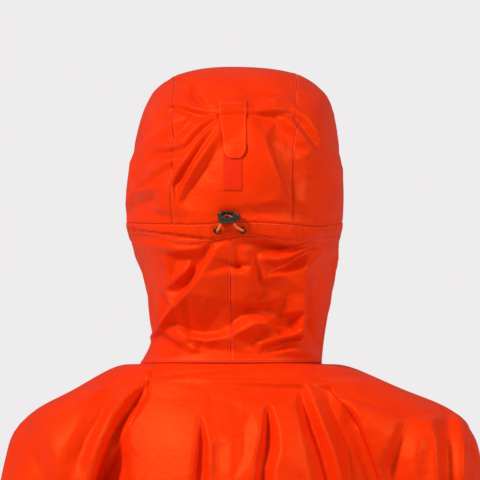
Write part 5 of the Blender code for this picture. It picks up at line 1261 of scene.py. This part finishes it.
def rods(name, rows, material):
    """One object with the capsules of all rows, each row the arguments of capsules()."""
    parts, faces, count = [], [], 0
    for row in rows:
        points, quads = capsules(*row)
        parts.append(points)
        faces.append(quads + count)
        count += len(points)
    return add_mesh(name, np.concatenate(parts), np.concatenate(faces), materials=[material])


def stitches(name, lines, material):
    """One object with a stitch every pitch along each line, half sunk into the cloth."""
    rows = []
    for points, normals in lines:
        place, along, aside, outward = along_line(points, normals, STITCH_PITCH)
        rows.append((place + STITCH_RISE * STITCH_THICK * outward, along, aside, outward,
                     STITCH_LONG / 2, STITCH_THICK))
    return rods(name, rows, material)


# ---------------------------------------------------------------- what lies on the hood
MERGE_WITHIN = 1e-7           # points of a closed shape nearer than this are one, m
POLE_REACH = 1 - 1e-3         # a block's first and last rings are this share of the way to its poles
RING_STEPS = 48
FACES_BACK = 0.1              # only cloth that faces backwards more than this carries anything


def surface_at(sheet, normals, x, z, blur):
    """Points of a cloth seen square on from behind at x and z: the mean of the grid's depth and normals
    round about, weighted by exp(-(distance/blur)^2)."""
    flat, facing = sheet.reshape(-1, 3), normals.reshape(-1, 3)
    back = facing[:, 1] > FACES_BACK
    flat, facing = flat[back], facing[back]
    gap = (x.ravel()[:, None] - flat[None, :, 0]) ** 2 + (z.ravel()[:, None] - flat[None, :, 2]) ** 2
    weight = np.exp(-gap / blur ** 2)
    weight /= weight.sum(axis=1, keepdims=True)
    place = np.stack([x.ravel(), weight @ flat[:, 1], z.ravel()], axis=1).reshape(*x.shape, 3)
    return place, unit(weight @ facing).reshape(*x.shape, 3)


def closed_tube(name, points, uv, materials):
    """Object from a grid that is wrapped round in its second direction: its ends are filled, or merged
    where they meet, and its faces turned outwards."""
    rows, columns = points.shape[:2]
    number = np.arange(rows * columns).reshape(rows, columns)
    following = np.roll(number, -1, axis=1)
    quads = np.stack([number[:-1], following[:-1], following[1:], number[1:]], axis=-1).reshape(-1, 4)
    piece = add_mesh(name, points.reshape(-1, 3), quads, uv.reshape(-1, 2), materials=materials)
    mesh = bmesh.new()
    mesh.from_mesh(piece.data)
    bmesh.ops.remove_doubles(mesh, verts=mesh.verts, dist=MERGE_WITHIN)
    bmesh.ops.holes_fill(mesh, edges=mesh.edges)
    bmesh.ops.recalc_face_normals(mesh, faces=mesh.faces)
    mesh.to_mesh(piece.data)
    mesh.free()
    piece.data.update()
    return piece


def swept_tube(name, path, radii, sides, lumps, materials):
    """Tube along a path: rings of the given radii times (1 + lumps(run in mm, turn)), square to the path
    and each starting level with it and square to y. Small end radii close it."""
    run = run_length(path)
    along = unit(np.gradient(path, axis=0))
    side = unit(np.cross(along, [0.0, 1.0, 0.0]))
    up = np.cross(side, along)
    turns = np.arange(sides) * 2 * math.pi / sides
    reach = radii[:, None] * (1 + lumps(run[:, None] / MM, turns[None]))
    ring = (np.cos(turns)[None, :, None] * side[:, None] + np.sin(turns)[None, :, None] * up[:, None])
    points = path[:, None] + reach[..., None] * ring
    uv = np.stack(np.broadcast_arrays(turns[None] * radii[:, None] / MM, run[:, None] / MM), axis=-1)
    return closed_tube(name, points, uv, materials)


def rounded_block(name, half, power, place, materials, rows, columns, taper=0.0):
    """Block with rounded edges: the surface |x/a|^n + |y/b|^n + |z/c|^n = 1, reached from its middle along
    directions on a sphere. place is a 4 x 4 matrix; a taper over 0 narrows it towards its lower end."""
    lift = (np.linspace(-1, 1, rows) * POLE_REACH)[:, None] * math.pi / 2
    turn = (np.arange(columns) * 2 * math.pi / columns)[None]
    half = np.asarray(half)
    way = half * np.stack(np.broadcast_arrays(
        np.cos(lift) * np.cos(turn), np.cos(lift) * np.sin(turn), np.sin(lift) + 0 * turn), axis=-1)
    size = np.sum(np.abs(way / half) ** power, axis=-1) ** (-1 / power)
    points = way * size[..., None]
    points[..., :2] *= (1 + taper * points[..., 2:] / half[2])
    matrix = np.array(place)
    points = points @ matrix[:3, :3].T + matrix[:3, 3]
    uv = np.stack(np.broadcast_arrays(turn + 0 * lift, lift + 0 * turn), axis=-1)
    return closed_tube(name, points, uv, materials)


def ring_of(name, centre, outward, profile, materials):
    """Ring turned about the outward axis at centre from a closed profile of (radius, height) pairs."""
    outward = unit(np.asarray(outward))
    side = unit(np.cross(outward, [0.0, 0.0, 1.0]))
    up = np.cross(side, outward)
    turns = np.arange(RING_STEPS) * 2 * math.pi / RING_STEPS
    spoke = np.cos(turns)[:, None] * side + np.sin(turns)[:, None] * up
    points = (np.asarray(centre) + profile[:, 0, None, None] * spoke[None]
              + profile[:, 1, None, None] * outward)
    points = np.concatenate([points, points[:1]])
    return closed_tube(name, points, np.zeros(points.shape[:2] + (2,)), materials)


def stands_for(piece, cad_node, body="root"):
    """The piece rides on the body in place of a CAD node, which is hidden."""
    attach(piece, body)
    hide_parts(cad_node)


# ---------------------------------------------------------------- the garment's own pieces
HEM_DEEP = 20.0 * MM          # cloth turned back at the hem and cuffs
BRIM_DEEP = 12.0 * MM         # and at the brim
HEM_STEP = 2.0 * MM           # over which the wall thins where it ends
TOPSTITCH = 1.4 * MM          # first row of stitches from a seam
SECOND_ROW = 3.4 * MM
FACE_EDGE_ROW = 10.0 * MM     # row along the face opening
FACE_EDGE_START = 4           # which starts this many grid rows above the zip
ZIP_EDGE_ROW = 2.6 * MM       # row along the zip slot


def wall_thickness(name, points):
    """Thickness of each grid point: the turned-back hems are thicker, with a step where they end."""
    if name in SEWN_LAST_ROW:
        return np.full(points.shape[:2], CLOTH)
    far = edge_distances(points)["last_row"] * MM
    deep = BRIM_DEEP if name.startswith("hood") else HEM_DEEP
    return CLOTH + (HEM_CLOTH - CLOTH) * (1 - soft_step((far - deep) / HEM_STEP))


def stitch_lines(name, points, normals):
    """Rows of stitches that show on a piece, as lines with their outward directions."""
    def beside(side, offset, rows=slice(None), columns=slice(None)):
        place, outward = line_beside(points[:, columns], normals[:, columns], side, offset)
        return place[rows], outward[rows]

    middle = points.shape[1] // 2
    chin = row_of(neck_rows, CHIN_ROW)
    seam, edge = BOTH_COLUMNS[::-1] if name.endswith("left") else BOTH_COLUMNS
    if name == "front_panel":
        above_foot = slice(0, ZIP_FOOT_INDEX + 1)
        return [beside("last_row", HEM_DEEP),
                beside("first_column", ZIP_EDGE_ROW, above_foot, slice(middle + 1, None)),
                beside("last_column", ZIP_EDGE_ROW, above_foot, slice(0, middle))]
    if name.startswith("hood_neck"):
        return [beside("first_row", TOPSTITCH), beside("first_row", SECOND_ROW), beside(seam, TOPSTITCH),
                beside(edge, ZIP_EDGE_ROW, slice(0, chin)),
                beside(edge, FACE_EDGE_ROW, slice(chin + FACE_EDGE_START, None))]
    if name == "hood_casing":
        return [beside("first_row", TOPSTITCH), beside("last_row", TOPSTITCH)]
    if name.startswith("hood_side"):
        return [beside(seam, TOPSTITCH), beside(edge, FACE_EDGE_ROW), beside("last_row", BRIM_DEEP)]
    if name == "hood_centre":
        return [beside("first_column", TOPSTITCH), beside("last_column", TOPSTITCH),
                beside("last_row", BRIM_DEEP)]
    return [beside("last_row", HEM_DEEP)]


def make_cloth(base, sheets, normals, finishes):
    """All cloth pieces with their stitches."""
    for name, points in sheets.items():
        thick = wall_thickness(name, base[name])
        inner = points - thick[..., None] * normals[name]
        keep = None
        if name == "front_panel":
            keep = np.ones((points.shape[0] - 1, points.shape[1] - 1), dtype=bool)
            middle = points.shape[1] // 2
            keep[:ZIP_FOOT_INDEX, middle - 1:middle + 1] = False
        piece = wall(name + "_cloth", points, inner, cloth_map(base[name]),
                     [finishes["cloth"], finishes["inside"]], keep)
        stands_for(piece, name)
        sewn = stitches(name + "_stitches", stitch_lines(name, points, normals[name]), finishes["thread"])
        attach(sewn, "root")


# ---------------------------------------------------------------- tab, patch, eyelets, cord and lock
TAB_TOP_Z = 0.2685
TAB_END_Z = 0.2090
TAB_LEFT_TOP = 0.0135         # x of its left edge, which leans
TAB_LEFT_LOW = 0.0073
TAB_RIGHT = -0.0160
TAB_ROUND = 0.012             # height of its rounded end
TAB_ROUND_POWER = 0.8         # under 1, so that the end is squarer than an ellipse
TAB_THICK = 1.3 * MM
TAB_LIFT = 0.35 * MM          # gap to the crown
TAB_ON_PATCH = 0.3 * MM       # gap to the patch
TAB_RAMP = 0.008              # rises over the patch's edge over this
TAB_EDGE_INSET = 1.7 * MM     # its rows of stitches from its edges
TAB_SECOND_ROW = 4.5 * MM
TAB_BLUR = 3.5 * MM           # it evens out the crown's creases this far
PATCH_TOP_Z = 0.2200
PATCH_END_Z = 0.1770
PATCH_LEFT = 0.0073
PATCH_RIGHT = -0.0114
PATCH_THICK = 0.9 * MM
PATCH_LIFT = 0.15 * MM
PATCH_BLUR = 2.2 * MM
EDGE_ROUNDING = 0.35 * MM     # a laid piece's edge is lower by this,
EDGE_REACH = 0.6 * MM         # over this,
PILE_START = 0.8 * MM         # and its pile grows over this
LOOP_HEIGHT = 0.14 * MM
LOOP_UNEVEN = 0.08 * MM
EYELET_X = {"left": 0.0137, "right": -0.0123}
EYELET_Z = 0.1365
EYELET_RADIUS = 3.8 * MM
EYELET_HOLE = 2.1 * MM
EYELET_THICK = 1.1 * MM
EYELET_LIFT = 0.15 * MM
EYELET_BLUR = 2.0 * MM
CORD_RADIUS = 1.35 * MM
CORD_START = 1.0 * MM         # the cord's ends are this far inside the eyelets
CORD_LEFT_OUT = (-0.0005, 0.0035, 0.0005)     # from its left end to the next point
CORD_RIGHT_OUT = (0.0010, 0.0035, 0.0002)
CORD_LOOP = (                 # then round through the lock, from the lock's middle
    (0.0065, -0.0010, -0.0070), (0.0055, 0.0000, -0.0010), (0.0000, 0.0000, 0.0025),
    (-0.0055, 0.0000, -0.0010), (-0.0070, -0.0010, -0.0070))
CORD_RINGS = 240
BRAID_LONG = 3.2              # mm along the cord for one crossing
BRAID_STRANDS = 8
BRAID_RISE = 0.05             # share of the radius
BRAID_MEAN = 0.6              # the strands' mean height as a share of their rise
LOCK_HALF = (9.5 * MM, 4.5 * MM, 6.5 * MM)
WINDOW_HALF = (5.2 * MM, 4.2 * MM, 2.5 * MM)
WINDOW_PLACE = (0.0, 4.5 * MM, 2.2 * MM)      # from the lock's middle
CHANNEL_ROOM = 0.35 * MM      # round the cord


def laid_piece(name, left, right, z, lift, thick, sheet, normals, columns, blur, materials, rough=None):
    """Flat piece laid on the crown: for each z a row from left to right, lifted off the cloth, its outline
    rounded over; a wall of the given thickness hangs under it."""
    share = np.linspace(0, 1, columns)[None]
    x = left[:, None] + (right - left)[:, None] * share
    place, outward = surface_at(sheet, normals, x, np.broadcast_to(z[:, None], x.shape), blur)
    edge = np.minimum(np.abs(x - left[:, None]), np.abs(x - right[:, None]))
    ends = np.minimum(z - z.min(), z.max() - z)[:, None]
    rounding = EDGE_ROUNDING * np.exp(-(np.minimum(edge, ends) / EDGE_REACH) ** 2)
    rise = lift[:, None] + thick - rounding
    if rough is not None:
        rise = rise + rough(x, z[:, None]) * soft_step(np.minimum(edge, ends) / PILE_START)
    outer = place + rise[..., None] * outward
    inner = place + lift[:, None, None] * outward
    facing = unit(grid_normals(outer))
    return wall(name, outer, inner, cloth_map(outer), materials), outer, facing


def tab_outline():
    """Rows of the tab from its top down to its rounded end: z, left and right edge."""
    straight = np.linspace(TAB_TOP_Z, TAB_END_Z + TAB_ROUND, 44)[:-1]
    turn = np.linspace(0, math.pi / 2 * 0.985, 26)
    z = np.concatenate([straight, TAB_END_Z + TAB_ROUND * (1 - np.sin(turn))])
    half_share = np.concatenate([np.ones(len(straight)), np.cos(turn) ** TAB_ROUND_POWER])
    upper = np.clip((z - TAB_END_Z - TAB_ROUND) / (TAB_TOP_Z - TAB_END_Z - TAB_ROUND), 0, 1)
    left = TAB_LEFT_LOW + (TAB_LEFT_TOP - TAB_LEFT_LOW) * upper
    middle, half = (left + TAB_RIGHT) / 2, (left - TAB_RIGHT) / 2
    return z, middle + half * half_share, middle - half * half_share


def loop_relief(x, z):
    """Height of the pile: two crossed waves about a loop apart, made uneven by a slower pair."""
    a, b = x / MM, z / MM
    fine = np.sin(a * 5.3 + 1.7 * np.sin(b * 0.9)) * np.sin(b * 4.7 + 1.3 * np.sin(a * 1.1))
    slow = np.sin(a * 1.3 + 0.6) * np.sin(b * 1.1 + 2.0)
    return LOOP_HEIGHT * fine + LOOP_UNEVEN * slow


def make_tab_and_patch(sheets, normals, finishes):
    """The volume tab, sewn to the crown at its top, and the loop patch that its end closes on."""
    crown, facing = sheets["hood_centre"], normals["hood_centre"]
    z = np.linspace(PATCH_TOP_Z, PATCH_END_Z, 96)
    ones = np.ones(len(z))
    patch, _, _ = laid_piece(
        "loop_patch", PATCH_LEFT * ones, PATCH_RIGHT * ones, z, PATCH_LIFT * ones, PATCH_THICK,
        crown, facing, 44, PATCH_BLUR, [finishes["loops"], finishes["loops"]], loop_relief)
    z, left, right = tab_outline()
    over_patch = soft_step((PATCH_TOP_Z + TAB_RAMP - z) / TAB_RAMP)
    lift = TAB_LIFT + over_patch * (PATCH_THICK + TAB_ON_PATCH)
    tab, outer, outward = laid_piece(
        "volume_tab", left, right, z, lift, TAB_THICK, crown, facing, 30, TAB_BLUR,
        [finishes["cloth"], finishes["inside"]])
    lines = [line_beside(outer, outward, "first_row", offset) for offset in (TOPSTITCH, TAB_SECOND_ROW)]
    lines = [(place[2:-2], turned[2:-2]) for place, turned in lines]
    for side in ("first_column", "last_column"):
        place, turned = line_beside(outer, outward, side, TAB_EDGE_INSET)
        keep = left - right > 3 * TAB_EDGE_INSET
        lines.append((place[keep], turned[keep]))
    sewn = stitches("tab_stitches", lines, finishes["thread"])
    stands_for(patch, "hood_loop_patch")
    stands_for(tab, "hood_tab")
    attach(sewn, "root")


def box_of(cad_node):
    """Middle and half size of a CAD node's box."""
    low, high = (np.array(corner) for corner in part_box(cad_node))
    return (low + high) / 2, (high - low) / 2


def braid(run, turns):
    """Strands that cross: the higher of two sets of opposite screws, as sines of turn and run."""
    phase = 2 * math.pi * run / BRAID_LONG
    one = np.sin(BRAID_STRANDS / 2 * turns + phase)
    other = np.sin(BRAID_STRANDS / 2 * turns - phase)
    return BRAID_RISE * (np.maximum(one, other) - BRAID_MEAN)


def cut_out(piece, cutters):
    """Take the cutters out of the piece's own mesh, and delete them."""
    for cutter in cutters:
        cut = piece.modifiers.new(cutter.name, "BOOLEAN")
        cut.operation = "DIFFERENCE"
        cut.object = cutter
    bpy.context.view_layer.update()
    graph = bpy.context.evaluated_depsgraph_get()
    solid = bpy.data.meshes.new_from_object(piece.evaluated_get(graph))
    piece.modifiers.clear()
    piece.data = solid
    for cutter in cutters:
        bpy.data.objects.remove(cutter)


def make_drawcord(sheets, normals, finishes):
    """Eyelets on the casing, the braided cord between them and the lock that it runs through."""
    casing, facing = sheets["hood_casing"], normals["hood_casing"]
    turn = np.arange(20) * 2 * math.pi / 20
    middle, reach = (EYELET_RADIUS + EYELET_HOLE) / 2, (EYELET_RADIUS - EYELET_HOLE) / 2
    profile = np.stack([middle + reach * np.cos(turn),
                        EYELET_LIFT + EYELET_THICK * (0.5 + 0.5 * np.sin(turn))], axis=1)
    ends = {}
    for side, x in EYELET_X.items():
        place, outward = surface_at(casing, facing, np.array([[x]]), np.array([[EYELET_Z]]), EYELET_BLUR)
        ring = ring_of("eyelet_ring_" + side, place[0, 0], outward[0, 0], profile, [finishes["bronze"]])
        stands_for(ring, "eyelet_" + side)
        ends[side] = place[0, 0] - CORD_START * outward[0, 0]
    centre, _ = box_of("cord_lock")
    control = np.array([
        ends["left"], ends["left"] + CORD_LEFT_OUT, *(centre + CORD_LOOP),
        ends["right"] + CORD_RIGHT_OUT, ends["right"]])
    knots = run_length(control)
    route = smooth(knots, control, np.linspace(0, knots[-1], CORD_RINGS))
    radii = np.full(len(route), CORD_RADIUS)
    radii[[0, -1]] = 0.2 * CORD_RADIUS
    cord = swept_tube("braided_cord", route, radii, 32, braid, [finishes["cord"]])
    stands_for(cord, "drawcord")

    lock = rounded_block(
        "lock_body", LOCK_HALF, 5.0, Matrix.Translation(centre), [finishes["acetal"]], 56, 80)
    window = rounded_block("lock_window", WINDOW_HALF, 6.0,
                           Matrix.Translation(centre + np.array(WINDOW_PLACE)), [], 24, 32)
    channel = swept_tube("lock_channel", route, radii + CHANNEL_ROOM, 20, lambda run, turns: 0 * turns, [])
    cut_out(lock, (window, channel))
    stands_for(lock, "cord_lock")
    middle, half = box_of("cord_lock_button")
    button = rounded_block("lock_button", half, 3.2, Matrix.Translation(middle), [finishes["acetal"]], 32, 48)
    stands_for(button, "cord_lock_button")


# ---------------------------------------------------------------- zip
HINGE = (0.0, -0.126125, 0.014196)            # the pull tab's hinge, as in the record
SLIDER_UP = (0.0, -0.4, 0.9165)               # the chain's direction at the slider
HINGE_OUT = 2.7 * MM          # the hinge from the slider's middle, out of the cloth
HINGE_UP = 1.0 * MM           # and up the chain
TAPE_HALF = 14.0 * MM
TAPE_LINES = (0.0, 2.5 * MM, 5.5 * MM, TAPE_HALF - ZIP_HALF_SLOT)     # from the slot's edge
TAPE_THICK = 0.7 * MM
TAPE_GAP = 0.15 * MM          # to the cloth, and to the zip's middle
TOOTH_PITCH = 1.5 * MM
TOOTH_RADIUS = 0.42 * MM
TOOTH_HALF = 1.75 * MM
TOOTH_MIDDLE = 0.75 * MM      # each row's teeth reach past the middle by this less than half their length
TOOTH_STARTS = ((1, 0.5), (-1, 1.0))          # side, and where on it the first tooth is, in pitches
CHAIN_UP = 0.35 * MM
CHAIN_START = 2               # the chain starts this many grid rows above the tapes
EASE_PASSES = 12
# Blocks of the slider, as middle, half size, roundness and taper, in mm from its middle: x across, y out
# of the cloth and z up the chain. Those of the pull tab are from the hinge, and hang straight down.
SLIDER_BLOCKS = (
    ((0, 0.95, 0), (4.4, 0.65, 5.5), 5.0, 0.12),              # plate
    ((3.8, -0.45, 0), (0.6, 0.95, 5.3), 5.0, 0.0),            # rails
    ((-3.8, -0.45, 0), (0.6, 0.95, 5.3), 5.0, 0.0),
    ((0, 2.7, 2.65), (0.8, 1.95, 0.55), 4.0, 0.0),            # bail
    ((0, 2.7, -0.65), (0.8, 1.95, 0.55), 4.0, 0.0),
    ((0, 4.35, 1.0), (0.8, 0.55, 2.2), 3.5, 0.0),
)
PULL_BLOCKS = (
    ((0, 0, 0), (2.4, 0.6, 0.6), 3.0, 0.0),                   # bar
    ((1.8, 0, -1.9), (0.6, 0.62, 2.3), 4.0, 0.0),             # arms
    ((-1.8, 0, -1.9), (0.6, 0.62, 2.3), 4.0, 0.0),
    ((0, 0, -13.6), (3.0, 0.65, 10.4), 4.5, -0.12),           # plate
)


def zip_edges(sheets, normals):
    """Lines behind the slot's edges from the zip's foot up to the chin, for each side at four distances
    from the edge; each is drawn in by the cloth and a small gap."""
    front, front_normals = sheets["front_panel"], normals["front_panel"]
    middle = front.shape[1] // 2
    chin = row_of(neck_rows, CHIN_ROW) + 1
    halves = {
        "left": (front[:, :middle], front_normals[:, :middle], "last_column"),
        "right": (front[:, middle + 1:], front_normals[:, middle + 1:], "first_column")}
    result = {}
    for side, (grid, outward, column) in halves.items():
        neck_column = "first_column" if side == "left" else "last_column"
        lines = []
        for offset in TAPE_LINES:
            low, low_out = line_beside(grid, outward, column, offset)
            high, high_out = line_beside(
                sheets["hood_neck_" + side], normals["hood_neck_" + side], neck_column, offset)
            place = np.concatenate([low[:ZIP_FOOT_INDEX + 3][::-1], high[3:chin]])
            out = np.concatenate([low_out[:ZIP_FOOT_INDEX + 3][::-1], high_out[3:chin]])
            lines.append((place - (CLOTH + TAPE_GAP) * out, out))
        result[side] = lines
    return result


def eased(line):
    """Line of points averaged with its neighbours, its ends fixed."""
    line = line.copy()
    for _ in range(EASE_PASSES):
        line[1:-1] = (line[:-2] + 2 * line[1:-1] + line[2:]) / 4
    return line


def joined(name, blocks, place, finish):
    """One object from a table of rounded blocks, its mm set at a place given as a matrix."""
    mesh = bmesh.new()
    for middle, half, power, taper in blocks:
        spot = place @ Matrix.Translation(Vector(middle) * MM)
        block = rounded_block(name, tuple(value * MM for value in half), power, spot, [], 20, 32, taper)
        mesh.from_mesh(block.data)
        bpy.data.objects.remove(block)
    data = bpy.data.meshes.new(name)
    mesh.to_mesh(data)
    mesh.free()
    data.materials.append(finish)
    piece = bpy.data.objects.new(name, data)
    bpy.context.scene.collection.objects.link(piece)
    return piece


def make_zip(sheets, normals, finishes):
    """Half zip, closed to the chin: tapes behind the cloth edges, the coil's teeth, slider and pull."""
    lines = zip_edges(sheets, normals)
    centre = eased((lines["left"][0][0] + lines["right"][0][0]) / 2)
    along = unit(np.gradient(centre, axis=0))
    outward = unit(np.stack([0 * along[:, 0], -along[:, 2], along[:, 1]], axis=1))
    for side, name in SIDE_NAMES:
        first = centre.copy()
        first[:, 0] = side * TAPE_GAP
        columns = [first] + [eased(place) for place, _ in lines[name]]
        outer = np.stack(columns, axis=1)
        if side < 0:
            outer = outer[:, ::-1]
        turned = unit(grid_normals(outer))
        if np.mean(turned[..., 1]) > 0:
            outer = outer[::-1]
            turned = unit(grid_normals(outer))
        tape = wall("tape_" + name, outer, outer - TAPE_THICK * turned, cloth_map(outer),
                    [finishes["tape"], finishes["tape"]])
        stands_for(tape, "zip_tape_" + name)
    rows = []
    for side, start in TOOTH_STARTS:
        place, up, _, out = along_line(centre[CHAIN_START:], outward[CHAIN_START:], TOOTH_PITCH, start)
        place = place + CHAIN_UP * out
        place[:, 0] += side * TOOTH_MIDDLE
        rows.append((place, np.tile([1.0, 0, 0], (len(place), 1)), up, out, TOOTH_HALF, TOOTH_RADIUS))
    teeth = rods("coil_teeth", rows, finishes["coil"])
    stands_for(teeth, "zip_chain")

    up = np.array(SLIDER_UP)
    out = np.array([0.0, -up[2], up[1]])
    seat = Matrix(((-1, 0, 0), (0, -up[2], up[1]), (0, up[1], up[2]))).to_4x4()
    seat.translation = Vector(np.array(HINGE) - HINGE_OUT * out - HINGE_UP * up)
    slider = joined("slider_body", SLIDER_BLOCKS, seat, finishes["zinc"])
    stands_for(slider, "zip_slider")
    pull = joined("pull_plate", PULL_BLOCKS, Matrix.Translation(HINGE), finishes["zinc"])
    stands_for(pull, "zip_pull", "pull_tab")


# ---------------------------------------------------------------- camera, light and floor
CAMERA_PLACE = (-0.0094, 2.55, 0.127)
CAMERA_LENS = 180.3           # mm, on a 36 mm wide sensor: 499 mm of garment across the picture
SENSOR = 36.0
FLOOR_Z = -0.76
FLOOR_HALF = 6
AMBIENT = 0.22                # brightness of the white room round the object
LIGHTS_AIM = (0, 0, 0.05)
LIGHTS = (                    # name, place, width and height in m, watts, colour
    ("key", (2.1, 2.1, 2.1), 0.6, 0.7, 122.0, "#FFF0D2"),
    ("fill", (-2.8, 1.6, 1.5), 0.8, 1.0, 56.0, "#FFF1D8"),
)


def soft_box(name, place, wide, high, watts, colour):
    """Area light that aims its -Z at LIGHTS_AIM."""
    data = bpy.data.lights.new(name, "AREA")
    data.shape = "RECTANGLE"
    data.size, data.size_y = wide, high
    data.energy = watts
    data.color = linear(colour)[:3]
    light = bpy.data.objects.new(name, data)
    light.location = place
    light.rotation_mode = "QUATERNION"
    light.rotation_quaternion = (Vector(LIGHTS_AIM) - light.location).to_track_quat("-Z", "Y")
    bpy.context.scene.collection.objects.link(light)


def make_studio():
    """Camera at the photograph's angle, a large soft light beside it, a weaker one across, pale floor."""
    scene = bpy.context.scene
    data = bpy.data.cameras.new("camera")
    data.lens = CAMERA_LENS
    data.sensor_width = SENSOR
    data.clip_start, data.clip_end = 0.1, 50.0
    camera = bpy.data.objects.new("camera", data)
    camera.location = CAMERA_PLACE
    camera.rotation_euler = (math.pi / 2, 0.0, math.pi)
    scene.collection.objects.link(camera)
    scene.camera = camera

    corners = FLOOR_HALF * np.array([(-1, -1, 0), (1, -1, 0), (1, 1, 0), (-1, 1, 0)])
    floor = add_mesh("floor", corners + (0, 0, FLOOR_Z), [(0, 1, 2, 3)], smooth_faces=False)
    paint, _ = new_material("pale_floor", Base_Color=linear("#E6E4E5"), Roughness=0.9)
    floor.data.materials.append(paint)

    world = bpy.data.worlds.new("studio")
    world.use_nodes = True
    sky = world.node_tree
    seen = node(sky, "Background", [("Color", linear("#EEECED")), ("Strength", 1.0)])
    lit = node(sky, "Background", [("Color", linear("#FFF4E8")), ("Strength", AMBIENT)])
    mixed = node(sky, "MixShader", [(0, node(sky, "LightPath", out="Is Camera Ray")), (1, lit), (2, seen)])
    sky.links.new(mixed, sky.nodes["World Output"].inputs["Surface"])
    scene.world = world
    scene.view_settings.view_transform = "Standard"
    for light in LIGHTS:
        soft_box(*light)


# ---------------------------------------------------------------- build
def build():
    """The dressed anorak in the frame."""
    make_studio()
    finishes = {
        "cloth": coated_nylon(), "inside": coated_back(), "thread": spun_thread(), "loops": looped_pile(),
        "cord": braided_polyester(), "acetal": moulded_acetal(), "tape": woven_tape(), "coil": nylon_coil(),
        "bronze": bronzed_metal("bronzed_brass", "#3A2E25", "#6A5442"),
        "zinc": bronzed_metal("lacquered_zinc", "#3A2E25", "#5F4C3D")}
    base, sheets, normals = creased_grids()
    make_cloth(base, sheets, normals, finishes)
    make_tab_and_patch(sheets, normals, finishes)
    make_drawcord(sheets, normals, finishes)
    make_zip(sheets, normals, finishes)


build()
